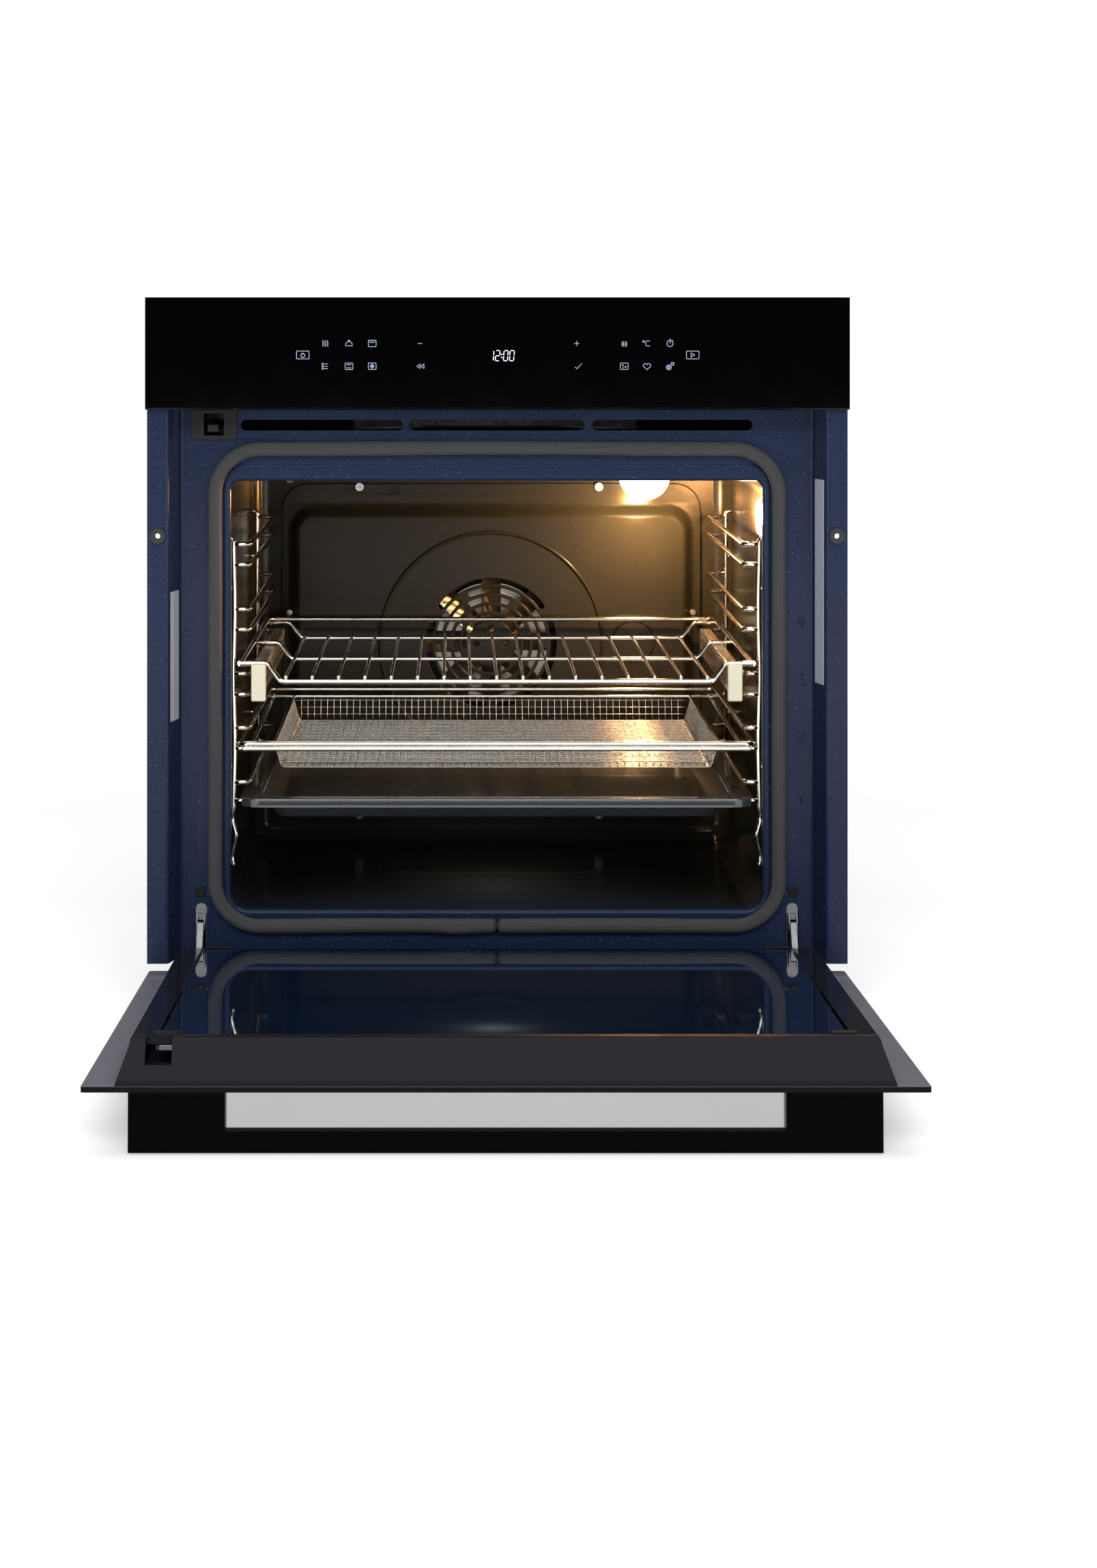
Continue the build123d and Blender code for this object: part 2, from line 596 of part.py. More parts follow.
def runner_slide():
    """The moving half of the right runner: a bar in the channel and a hood that carries the shelf."""
    bar = block(RUNNER_IN, RUNNER_OUT - 1.8, RUNNER_FRONT, RUNNER_BACK - 6, RUNNER_BOTTOM + 1.9, 271.8)
    bar -= block(RUNNER_IN + 1.2, RUNNER_OUT - 3.2, RUNNER_FRONT - 1, RUNNER_BACK, RUNNER_BOTTOM + 3.1, 270.6)
    web = block(RUNNER_IN, RUNNER_IN + 1.2, RUNNER_FRONT, RUNNER_BACK - 6, 271.8, RUNNER_TOP)
    hood = block(RUNNER_IN, RUNNER_OUT, RUNNER_FRONT, RUNNER_BACK - 6, RUNNER_TOP - 1.2, RUNNER_TOP)
    return bar + web + hood


def runner_end_cap():
    """The moulded stop on the front of the right runner."""
    cap = block(RUNNER_CAP_IN, RUNNER_OUT, RUNNER_FRONT - 5, RUNNER_FRONT, 249, 281)
    return fillet(cap.edges().filter_by(Axis.Y), 1.5)


def shelf_rim():
    """The shelf's frame: a rim bent in a U and three dropped cross bars."""
    rim = wire(
        [
            (-SHELF_HALF, SHELF_FRONT, SHELF_Z),
            (-SHELF_HALF, SHELF_BACK, SHELF_Z),
            (SHELF_HALF, SHELF_BACK, SHELF_Z),
            (SHELF_HALF, SHELF_FRONT, SHELF_Z),
        ],
        SHELF_R,
        9,
    )
    for depth, radius in SHELF_BARS:
        half = [(BEND_OUT, depth, SHELF_Z), (BEND_IN, depth, SHELF_LOW_Z + SHELF_R - radius)]
        ends = [(SHELF_HALF, depth, SHELF_Z)] + half
        path = [(-x, d, z) for x, d, z in ends] + list(reversed(ends))
        rim += wire(path, radius, 7)
    return [rim]


def shelf_wires():
    """The wires that lie across the shelf's bars, from front to back."""
    wires = []
    top = SHELF_LOW_Z + SHELF_R + CROSS_R + 0.02
    for step in range(CROSS_WIRES):
        x = (step - (CROSS_WIRES - 1) / 2) * CROSS_PITCH
        wires.append(rod_y(x, top, CROSS_R, SHELF_FRONT - 1, SHELF_BARS[-1][0] + 1))
    return wires


def basket_frame():
    """The basket's rim on the rack's rails, its second front bar, and the wires round the mesh."""
    corners = (
        (-BASKET_HALF, SHELF_FRONT, BASKET_Z),
        (BASKET_HALF, SHELF_FRONT, BASKET_Z),
        (BASKET_HALF, SHELF_BACK, BASKET_Z),
        (-BASKET_HALF, SHELF_BACK, BASKET_Z),
    )
    frame = wire(corners, BASKET_R, 8, close=True)
    low_bar = rod_x(SHELF_FRONT, BASKET_LOW_BAR, BASKET_R, -BASKET_HALF + 3, BASKET_HALF - 3)
    low_bar = fillet(low_bar.edges().filter_by(GeomType.CIRCLE), 1)
    for depth in (MESH_FRONT + 6, MESH_BACK):
        frame += rod_x(depth, BASKET_Z, MESH_RIM_R, -BASKET_HALF, BASKET_HALF)
    x = MESH_TOP_HALF
    for side in (-x, x):
        frame += rod_y(side, BASKET_Z, MESH_RIM_R - 0.1, MESH_FRONT + 6, MESH_BACK)
    return [frame, low_bar]


def mesh_basket():
    """The basket's mesh, as one thin tray with sloping walls."""

    def tub(grow):
        """The outside when grow is 0 and the room inside when grow is the wall, negative."""
        middle = FRONT + (MESH_FRONT + MESH_BACK) / 2
        length = MESH_BACK - MESH_FRONT + 2 * grow
        top = RectangleRounded(2 * (MESH_TOP_HALF + grow), length, 8)
        floor = RectangleRounded(2 * (MESH_FLOOR_HALF + grow), length - 12, 8)
        return loft([Plane((0, middle, MESH_FLOOR - grow)) * floor, Plane((0, middle, MESH_TOP)) * top])

    return [tub(0) - tub(-MESH_WALL)]


def baking_tray():
    """The enamelled tray: a flat rim on the rails, a sloping well and a lip along the front."""

    def level(half, d0, d1, z, radius):
        return Plane((0, FRONT + (d0 + d1) / 2, z)) * RectangleRounded(2 * half, d1 - d0, radius)

    edge = 16.0
    rim = extrude(level(TRAY_HALF, TRAY_FRONT, TRAY_BACK, TRAY_RIM_Z, TRAY_CORNER), amount=TRAY_SHEET)
    mouth = (TRAY_WELL_HALF, TRAY_FRONT + edge, TRAY_BACK - edge)
    foot = (TRAY_WELL_HALF - 7, TRAY_FRONT + edge + 7, TRAY_BACK - edge - 7)
    high = TRAY_RIM_Z + TRAY_SHEET
    outside = loft([level(*foot, TRAY_BOTTOM, 20), level(*mouth, high, 22)])
    shrunk_foot = (foot[0] - TRAY_SHEET, foot[1] + TRAY_SHEET, foot[2] - TRAY_SHEET)
    shrunk_mouth = (mouth[0] - TRAY_SHEET, mouth[1] + TRAY_SHEET, mouth[2] - TRAY_SHEET)
    inside = loft([level(*shrunk_foot, TRAY_BOTTOM + TRAY_SHEET, 19), level(*shrunk_mouth, high, 21)])
    lip = block(-TRAY_HALF + 20, TRAY_HALF - 20, TRAY_FRONT, TRAY_FRONT + TRAY_SHEET, 156, high)
    tray = rim + lip + outside - inside
    for side in (-1, 1):
        for depth in (82, 96, 110):
            x = side * 211
            tray -= block(x - 4, x + 4, depth, depth + 7, TRAY_RIM_Z - 1, high + 1)
    return [tray]


# Controls, electronics and cooling


def control_glass():
    """The black glass across the top, its lower edge bevelled."""
    glass = block(-WIDTH / 2, WIDTH / 2, 0, GLASS, PANEL_BOTTOM, HEIGHT)
    lower = glass.edges().filter_by(Axis.X).sort_by(Axis.Z)[:2].sort_by(Axis.Y)[0]
    return [chamfer(lower, 1.2)]


def control_housing():
    """The plastic tray behind the control glass."""
    tray = block(-268, 268, GLASS + 0.1, 34, 504, 584) - block(-266, 266, GLASS - 1, 32, 506, 582)
    for x in (-180, 180):
        tray += block(x - 4, x + 4, 20, 32, 530, 560)
    return [tray]


def circuit_boards():
    """The clock display, the touch board behind it and the power board above the duct."""
    display = block(-42, 42, GLASS + 0.3, 12, 530, 564)
    touch = block(-176, 176, 13, 14.6, 524, 572) + block(-30, 30, 14.6, 19, 536, 560)
    power = block(70, 225, 90, 235, 503, 504.6)
    blocks = ((95, 120, 26, 24), (140, 130, 18, 16), (190, 130, 34, 28), (110, 200, 20, 20))
    for x, depth, size, tall in blocks:
        power += block(x - size / 2, x + size / 2, depth - size / 2, depth + size / 2, 504.6, 504.6 + tall)
    return [display, touch, power]


def cooling_fan_housing():
    """The blower's drum, with an outlet towards the duct."""
    inner_r = BLOWER_R - 1.5
    drum = rod_z(0, BLOWER_DEPTH, BLOWER_R, BLOWER_BOTTOM, BLOWER_TOP)
    neck = block(-50, 50, 256, BLOWER_DEPTH, BLOWER_BOTTOM, 508)
    room = rod_z(0, BLOWER_DEPTH, inner_r, BLOWER_BOTTOM + 1.5, BLOWER_TOP - 1.5)
    throat = block(-48.5, 48.5, 255, BLOWER_DEPTH, BLOWER_BOTTOM + 1.5, 506.5)
    inlet = rod_z(0, BLOWER_DEPTH, 40, BLOWER_TOP - 3, BLOWER_TOP + 1)
    return [drum + neck - room - throat - inlet]


def cooling_fan_wheel():
    """The blower's wheel: a disc with a ring of straight blades, turning about Z."""
    wheel = rod_z(0, BLOWER_DEPTH, 62, 490, 491.5) + rod_z(0, BLOWER_DEPTH, 8, 490, 546)
    for turn in range(24):
        blade = Pos(54, 0, 509) * Box(15, 1.2, 36)
        wheel += Pos(0, FRONT + BLOWER_DEPTH, 0) * Rot(0, 0, 15 * turn) * blade
    return [wheel]


def cooling_fan_motor():
    """The blower's motor on a bridge over the inlet."""
    bridge = (BLOWER_DEPTH - 8, BLOWER_DEPTH + 8)
    motor = rod_z(0, BLOWER_DEPTH, 27, 548, 572) + block(-70, 70, *bridge, 546, 548)
    for x in (-66, 66):
        motor += block(x - 4, x + 4, *bridge, BLOWER_TOP, 546)
    return [motor - rod_z(0, BLOWER_DEPTH, 8 + PIN_GAP, 545, 549)]


def air_duct():
    """The flat duct from the blower to the front vents, with a spigot over the cavity's outlet."""
    right = [(DUCT_HALF, 43.5), (DUCT_HALF, 150), (50, 255.5)]
    right_room = [(DUCT_HALF - 1, 42), (DUCT_HALF - 1, 149.6), (49, 257)]
    points = right + [(-x, depth) for x, depth in reversed(right)]
    room = right_room + [(-x, depth) for x, depth in reversed(right_room)]
    duct = plan_plate(points, DUCT_BOTTOM, DUCT_TOP) - plan_plate(room, DUCT_BOTTOM + 1, DUCT_TOP - 1)
    duct += rod_z(*OUTLET, 12, CAVITY_CEILING + SHEET, DUCT_BOTTOM)
    return [duct - rod_z(*OUTLET, 10, CAVITY_CEILING, DUCT_BOTTOM + 2)]


def terminal_block():
    """The mains terminals in their box at the top left of the back, open to the rear."""
    box = block(-250, -180, 510, BODY_BACK - SHEET - 0.1, 500, 552)
    box -= block(-247, -183, 530, BODY_BACK, 503, 549)
    for x in (-236, -222, -208, -194):
        box += block(x - 4.5, x + 4.5, 530, 540, 512, 532)
    return [box]


# Door latch and hinges on the body


def latch_housing():
    """The black pocket beside the vents that holds the latch."""
    face = front_plate(rounded(-261.5, -222.7, 473.7, 507, 3), 39, RECESS - 0.05)
    neck = front_plate(rounded(-260.4, -223.8, 474.8, 507, 3), RECESS - 0.05, 74)
    room = front_plate(rounded(-251, -233.7, 477, 496, 1), 30, 71)
    return [face + neck - room - rod_x(60, 485, 2.05, -255, -229)]


def latch_hook():
    """The hook that reaches into the door's pocket, on its own pin across the housing."""
    points = [(31.5, 480.4), (34.5, 480.4), (36, 482.6), (58, 482.6), (64, 481.5), (64, 489), (56, 489)]
    points += [(50, 487.4), (33, 487.4), (31.5, 486)]
    hook = side_plate(points, -247, -238)
    return [hook + rod_x(60, 485, 2, -254.5, -229.5)]


def hinge_receiver():
    """The right zinc receiver behind the frame: a plate, two cheeks and the bar the arm hooks on."""
    front = block(HINGE_X - 10, HINGE_X + 10, 43.4, 44.6, 30, 93)
    front -= block(HINGE_X - 3.8, HINGE_X + 3.8, 43, 45, 37, 63)
    front -= rod_y(FRAME_SCREW_X, FRAME_SCREW_Z, FRAME_SCREW_R + 0.05, 43, 45)
    cheek = block(HINGE_X + 3.8, HINGE_X + 5, 44.6, 84, 33, 67)
    far = block(HINGE_X - 5, HINGE_X - 3.8, 44.6, 84, 33, 67)
    bar = rod_x(74, 47, 3, HINGE_X - 4, HINGE_X + 4)
    return front + cheek + far + bar


def hinge_arm():
    """The right arm: a flat plate from the door's pin through the slot to the receiver's bar."""
    hub = rod_x(PIVOT_DEPTH, PIVOT_Z, 8, HINGE_X - ARM_THICK / 2, HINGE_X + ARM_THICK / 2)
    points = [(14, 22), (22, 25), (40, 41), (70, 41), (70, 50.4), (78, 50.4), (82, 44), (82, 60)]
    points += [(40, 61), (33, 61), (22, 44), (10, 37)]
    beam = side_plate(points, HINGE_X - ARM_THICK / 2, HINGE_X + ARM_THICK / 2)
    bore = rod_x(PIVOT_DEPTH, PIVOT_Z, PIN_R + PIN_GAP, HINGE_X - 6, HINGE_X + 6)
    lever_pin = rod_x(LEVER_DEPTH, LEVER_Z, 1.2, HINGE_X - 3.6, HINGE_X + 3.6)
    return hub + beam - bore + lever_pin


def lock_lever():
    """The right release lever: two cheeks on the arm's small pin, joined by a bridge above it."""
    points = [(LEVER_DEPTH - 3, 54.5), (LEVER_DEPTH + 3, 54.5), (41, 62), (41, 67), (38, 67), (34, 61)]
    near = side_plate(points, HINGE_X - 3.75, HINGE_X - 2.75)
    far = side_plate(points, HINGE_X + 2.75, HINGE_X + 3.75)
    bridge = block(HINGE_X - 3.75, HINGE_X + 3.75, 38.6, 41, 62.6, 67)
    lever = near + far + bridge
    return lever - rod_x(LEVER_DEPTH, LEVER_Z, 1.2 + PIN_GAP, HINGE_X - 5, HINGE_X + 5)


def frame_screws():
    """The two black screws through the recessed plate into the hinge receivers."""
    screws = []
    for side in (-1, 1):
        place = (side * FRAME_SCREW_X, FRAME_SCREW_Z)
        head = rod_y(*place, 4.5, RECESS - 2.6, RECESS) - rod_y(*place, 1.8, RECESS - 3, RECESS - 1.2)
        screws.append(head + rod_y(*place, FRAME_SCREW_R, RECESS, 52))
    return screws


# Door


def door_outer_glass():
    """The full-width outer pane, drilled for the handle's two screws."""
    pane = front_plate(rounded(-WIDTH / 2, WIDTH / 2, DOOR_BOTTOM, DOOR_TOP, 2.5), 0, GLASS)
    for side in (-1, 1):
        pane -= rod_y(side * HANDLE_SCREW_X, HANDLE_SCREW_Z, HANDLE_SCREW_R, -1, GLASS + 1)
    return [pane]


def door_rail():
    """The right side rail: a channel from the outer pane up over the edge of the inner pane."""
    low, high = 62, 473
    web = block(RAIL_OUT - 1.5, RAIL_OUT, GLASS + 0.2, RAIL_DEEP, low, high)
    cap = block(RAIL_IN, RAIL_OUT, RAIL_DEEP - 1.5, RAIL_DEEP, low, high)
    foot = block(RAIL_OUT - 6, RAIL_OUT, GLASS + 0.2, GLASS + 1.7, low, high)
    return web + cap + foot


def door_bottom_channel():
    """The channel that closes the door's lower end between the hinges."""
    channel = block(-244, 244, GLASS + 0.2, 25.4, 44, 50)
    return [channel - block(-242, 242, GLASS + 1.4, 24.2, 45.2, 51)]


def door_top_trim():
    """The moulded cap on the door's upper end: a crest, a sloping face and the latch pocket."""
    profile = [(4.2, 494.5), (8, 494.5), (36, 484), (TRIM_DEEP, 481.5), (TRIM_DEEP, 476), (35.5, 473.6)]
    profile += [(29.8, 473.6), (29.8, 478.2), (4.2, 478.2)]
    trim = side_plate(profile, -TRIM_BASE_HALF, TRIM_BASE_HALF)
    plan = [(-TRIM_BASE_HALF, 4), (TRIM_BASE_HALF, 4), (TRIM_CREST_HALF, 38), (-TRIM_CREST_HALF, 38)]
    trim &= plan_plate(plan, 470, 500)
    for side in (-1, 1):
        x = sorted((side * 252, side * TRIM_BASE_HALF))
        trim -= block(*x, RAIL_DEEP + 2.6, 40, 470, 477.5)
    x0, x1, z0, z1 = POCKET
    return [trim - block(x0, x1, 18, 40, z0, z1)]


def door_middle_glass():
    """The pane between the outer and the inner one."""
    return [block(-243.5, 243.5, 14, 17, 50.4, 477)]


def door_inner_glass():
    """The heat-reflecting pane that closes the cavity."""
    back = INNER_GLASS_BACK
    outline = rounded(-INNER_GLASS_HALF, INNER_GLASS_HALF, INNER_GLASS_BOTTOM + 0.4, INNER_GLASS_TOP, 4)
    return [front_plate(outline, back - GLASS, back)]


def glass_retainers():
    """Two small clips that hold the inner pane's lower corners."""
    clip = block(224, 246, 25.5, 31.6, 45, 50.2)
    clip += block(224, 246, INNER_GLASS_BACK + 0.1, 31.6, 50.2, 51.3)
    return [clip, mirrored(clip)]


def hinge_case():
    """The right hinge's case in the door: two plates and a web, with holes for the pin."""
    plates = []
    for x in (HINGE_X - 5.2, HINGE_X + 4.0):
        plates.append(block(x, x + 1.2, 6, 29, 60, 240))
        lower = side_plate([(6, 21), (22, 21), (22, 34), (26, 60), (6, 60)], x, x + 1.2)
        plates.append(lower)
    web = block(HINGE_X - 5.2, HINGE_X + 5.2, 6, 7.2, 46, 240)
    case = web
    for plate in plates:
        case += plate
    return case - rod_x(PIVOT_DEPTH, PIVOT_Z, PIN_R, HINGE_X - 6, HINGE_X + 6)


def hinge_pin():
    """The right hinge pin."""
    return rod_x(PIVOT_DEPTH, PIVOT_Z, PIN_R, HINGE_X - 5.6, HINGE_X + 5.6)


def hinge_spring():
    """The right hinge's tension spring, as a close-wound tube with an eye rod."""
    tube = rod_z(HINGE_X, 17, 3.8, 110, 225) - rod_z(HINGE_X, 17, 2.2, 109, 220)
    return tube + rod_z(HINGE_X, 17, 1.2, 80, 112) + rod_z(HINGE_X, 17, 2.3, 109, 112)


def handle():
    """The black handle: a bar on two wide brackets."""
    bar = block(-HANDLE_HALF, HANDLE_HALF, -HANDLE_OUT, HANDLE_BAR - HANDLE_OUT, HANDLE_BOTTOM, HANDLE_TOP)
    bracket = block(HANDLE_HALF - HANDLE_BRACKET, HANDLE_HALF, -HANDLE_OUT, -0.05, HANDLE_BOTTOM, HANDLE_TOP)
    whole = bar + bracket + mirrored(bracket)
    for side in (-1, 1):
        whole -= rod_y(side * HANDLE_SCREW_X, HANDLE_SCREW_Z, HANDLE_SCREW_R, -16, 1)
    return [chamfer(whole.edges().filter_by(Axis.X), 0.8)]


def handle_screws():
    """Two screws from inside the outer pane into the handle's brackets."""
    screws = []
    for side in (-1, 1):
        x = side * HANDLE_SCREW_X
        shank = rod_y(x, HANDLE_SCREW_Z, HANDLE_SCREW_R, -14, GLASS)
        screws.append(shank + rod_y(x, HANDLE_SCREW_Z, 5, GLASS, GLASS + 2.6))
    return screws


def pair(shape):
    """A right-hand piece and its mirror image."""
    return [shape, mirrored(shape)]


RACK = side_rack()
PANEL = side_panel()
LEVER = lock_lever()
DOOR_RAIL = door_rail()

BODY_PIECES = {
    "base_plate": base_plate(),
    "right_side_panel": [PANEL],
    "left_side_panel": [mirrored(PANEL)],
    "top_cover": top_cover(),
    "rear_cover": rear_cover(),
    "front_frame": front_frame(),
    "mounting_grommets": mounting_grommets(),
    "side_labels": side_labels(),
    "cavity_liner": cavity_liner(),
    "fan_cover": fan_cover(),
    "cavity_fasteners": cavity_fasteners(),
    "convection_fan": convection_fan(),
    "fan_motor": fan_motor(),
    "ring_element": ring_element(),
    "grill_element": grill_element(),
    "bottom_element": bottom_element(),
    "insulation_wrap": insulation_wrap(),
    "lamp_housings": lamp_housings(),
    "lamp_lenses": lamp_lenses(),
    "lamp_bulbs": lamp_bulbs(),
    "temperature_sensor": temperature_sensor(),
    "door_gasket": door_gasket(),
    "right_side_rack": [RACK],
    "left_side_rack": [mirrored(RACK)],
    "runner_rails": pair(runner_rail()),
    "runner_slides": pair(runner_slide()),
    "runner_end_caps": pair(runner_end_cap()),
    "shelf_rim": shelf_rim(),
    "shelf_wires": shelf_wires(),
    "basket_frame": basket_frame(),
    "mesh_basket": mesh_basket(),
    "baking_tray": baking_tray(),
    "control_glass": control_glass(),
    "control_housing": control_housing(),
    "circuit_boards": circuit_boards(),
    "cooling_fan_housing": cooling_fan_housing(),
    "cooling_fan_wheel": cooling_fan_wheel(),
    "cooling_fan_motor": cooling_fan_motor(),
    "air_duct": air_duct(),
    "terminal_block": terminal_block(),
    "latch_housing": latch_housing(),
    "latch_hook": latch_hook(),
    "hinge_receivers": pair(hinge_receiver()),
    "hinge_arms": pair(hinge_arm()),
    "right_lock_lever": [LEVER],
    "left_lock_lever": [mirrored(LEVER)],
    "frame_screws": frame_screws(),
}

DOOR_PIECES = {
    "door_outer_glass": door_outer_glass(),
    "right_door_rail": [DOOR_RAIL],
    "left_door_rail": [mirrored(DOOR_RAIL)],
    "door_bottom_channel": door_bottom_channel(),
    "door_top_trim": door_top_trim(),
    "door_middle_glass": door_middle_glass(),
    "door_inner_glass": door_inner_glass(),
    "glass_retainers": glass_retainers(),
    "hinge_cases": pair(hinge_case()),
    "hinge_pins": pair(hinge_pin()),
    "hinge_springs": pair(hinge_spring()),
    "door_handle": handle(),
    "handle_screws": handle_screws(),
}


def write(name, shapes):
    """One STEP file for a sub-part, from all the solids of its shapes."""
    solids = [solid for shape in shapes for solid in shape.solids()]
    export_step(Compound(solids), f"parts/{name}.step")


for name, shapes in BODY_PIECES.items():
    write(name, shapes)
for name, shapes in DOOR_PIECES.items():
    write(name, [opened(shape) for shape in shapes])
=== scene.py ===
import json
import math

import bmesh
import bpy
import numpy as np
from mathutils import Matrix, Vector
from mathutils.geometry import tessellate_polygon

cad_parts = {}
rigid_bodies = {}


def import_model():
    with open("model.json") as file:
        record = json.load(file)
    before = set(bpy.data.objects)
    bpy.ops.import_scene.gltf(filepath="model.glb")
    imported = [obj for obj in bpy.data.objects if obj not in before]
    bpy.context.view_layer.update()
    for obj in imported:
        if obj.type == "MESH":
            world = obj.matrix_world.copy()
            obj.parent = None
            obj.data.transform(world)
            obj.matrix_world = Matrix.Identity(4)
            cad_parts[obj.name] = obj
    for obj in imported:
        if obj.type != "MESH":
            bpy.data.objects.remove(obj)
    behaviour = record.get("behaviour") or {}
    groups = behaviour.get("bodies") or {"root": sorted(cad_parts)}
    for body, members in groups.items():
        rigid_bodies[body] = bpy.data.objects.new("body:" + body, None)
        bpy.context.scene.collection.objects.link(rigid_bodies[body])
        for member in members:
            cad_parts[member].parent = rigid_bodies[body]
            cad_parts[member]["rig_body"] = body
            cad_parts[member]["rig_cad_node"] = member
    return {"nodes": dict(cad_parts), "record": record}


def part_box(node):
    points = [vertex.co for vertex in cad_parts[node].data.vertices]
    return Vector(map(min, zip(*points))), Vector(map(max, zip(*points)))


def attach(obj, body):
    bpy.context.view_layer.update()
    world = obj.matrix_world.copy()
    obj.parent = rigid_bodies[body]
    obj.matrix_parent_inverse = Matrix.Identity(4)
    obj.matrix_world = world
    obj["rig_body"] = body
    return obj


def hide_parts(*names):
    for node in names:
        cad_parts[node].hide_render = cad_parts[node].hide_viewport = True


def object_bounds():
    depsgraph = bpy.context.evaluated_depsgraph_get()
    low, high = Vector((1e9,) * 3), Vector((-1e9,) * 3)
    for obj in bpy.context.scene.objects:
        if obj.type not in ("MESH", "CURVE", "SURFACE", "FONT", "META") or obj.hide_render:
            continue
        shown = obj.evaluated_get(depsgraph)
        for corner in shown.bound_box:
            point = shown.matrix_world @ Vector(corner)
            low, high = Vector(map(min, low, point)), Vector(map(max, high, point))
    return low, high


# A built-in wall oven with its door open, in metres. +X is to the right seen from the front, +Y
# goes into the wall and +Z is up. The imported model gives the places. The sizes below are in
# millimetres, and depths are measured from the face of the control glass.

MM = 0.001
CIRCLE = 2 * math.pi

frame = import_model()
CAD_BOX = [list(corner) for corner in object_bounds()]
NODES = frame["nodes"]


def reach(node):
    """A CAD node's lowest and highest corners in millimetres, as two arrays."""
    low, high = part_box(node)
    return np.array(low) / MM, np.array(high) / MM


FRONT = reach("control_glass")[0][1]


# ---------------------------------------------------------------- surfaces


class Surface:
    """Grids of points, in millimetres, gathered into one mesh with a UV map."""

    def __init__(self):
        self.points = []
        self.faces = []
        self.uvs = []
        self.count = 0

    def grid(self, points, across=False, along=False, size=(1.0, 1.0), flip=False):
        """Rows and columns of points become quads. along joins the last row to the first, across
        the last column to the first. size is what the UV map runs to over the rows and the
        columns."""
        rows, columns = points.shape[:2]
        index = np.arange(rows * columns).reshape(rows, columns) + self.count
        row_ends = rows if along else rows - 1
        column_ends = columns if across else columns - 1
        next_row = np.roll(index, -1, 0)
        next_column = np.roll(index, -1, 1)
        opposite = np.roll(next_row, -1, 1)
        corners = [index, next_column, opposite, next_row]
        u, v = np.meshgrid(np.arange(rows), np.arange(columns), indexing="ij")
        shifts = [(0, 0), (0, 1), (1, 1), (1, 0)]
        if flip:
            corners.reverse()
            shifts.reverse()
        quads = np.stack([c[:row_ends, :column_ends].ravel() for c in corners], 1)
        maps = []
        for du, dv in shifts:
            u_corner = ((u + du) / max(row_ends, 1) * size[0])[:row_ends, :column_ends].ravel()
            v_corner = ((v + dv) / max(column_ends, 1) * size[1])[:row_ends, :column_ends].ravel()
            maps.append(np.stack([u_corner, v_corner], 1))
        self.points.append(points.reshape(-1, 3))
        self.faces += quads.tolist()
        self.uvs.append(np.stack(maps, 1).reshape(-1, 2))
        self.count += rows * columns
        return self

    def plate(self, depth, outer, holes=()):
        """A flat plate square to Y, as triangles between its outline and the outlines of its
        holes."""
        return self.filled(lambda flat: upright(flat, depth), outer, holes)

    def filled(self, place, outer, holes=()):
        """Triangles between flat outlines, with a function that places their points, and the flat
        points in metres as the UV map."""
        flat = np.concatenate([outer, *holes])
        outlines = [[Vector((x, y, 0)) for x, y in one] for one in (outer, *holes)]
        faces = tessellate_polygon(outlines)
        order = [corner for face in faces for corner in face]
        self.points.append(place(flat))
        self.faces += [[corner + self.count for corner in face] for face in faces]
        self.uvs.append((flat * MM)[order])
        self.count += len(flat)
        return self

    def collar(self, rows):
        """A band through closed outlines in the front view, each given with its depth."""
        placed = [upright(outline, depth) for outline, depth in rows]
        return self.grid(np.stack(placed), across=True)

    def piece(self, name, merge=None, smooth=35.0):
        """The mesh as an object at the origin, its near points merged and its soft edges
        smoothed."""
        mesh = bpy.data.meshes.new(name)
        mesh.from_pydata(np.concatenate(self.points) * MM, [], self.faces)
        layer = mesh.uv_layers.new(name="UVMap")
        layer.data.foreach_set("uv", np.concatenate(self.uvs).astype(np.float32).ravel())
        thing = bpy.data.objects.new(name, mesh)
        bpy.context.scene.collection.objects.link(thing)
        if merge:
            weld(thing, merge)
        shade(thing, smooth)
        return thing


def weld(thing, distance):
    """Merges the points of a mesh that lie within a distance in millimetres, and turns faces
    outward."""
    work = bmesh.new()
    work.from_mesh(thing.data)
    bmesh.ops.remove_doubles(work, verts=work.verts, dist=distance * MM)
    bmesh.ops.recalc_face_normals(work, faces=work.faces)
    work.to_mesh(thing.data)
    work.free()


def shade(thing, angle):
    """Smooth shading, with edges sharper than the angle left hard."""
    mesh = thing.data
    mesh.polygons.foreach_set("use_smooth", np.ones(len(mesh.polygons), bool))
    mesh.set_sharp_from_angle(angle=math.radians(angle))


CAD_WELD = 0.002
FLAT_ANGLE = math.radians(0.6)
EDGE_ANGLE = 32.0
BEVEL_STEPS = 3


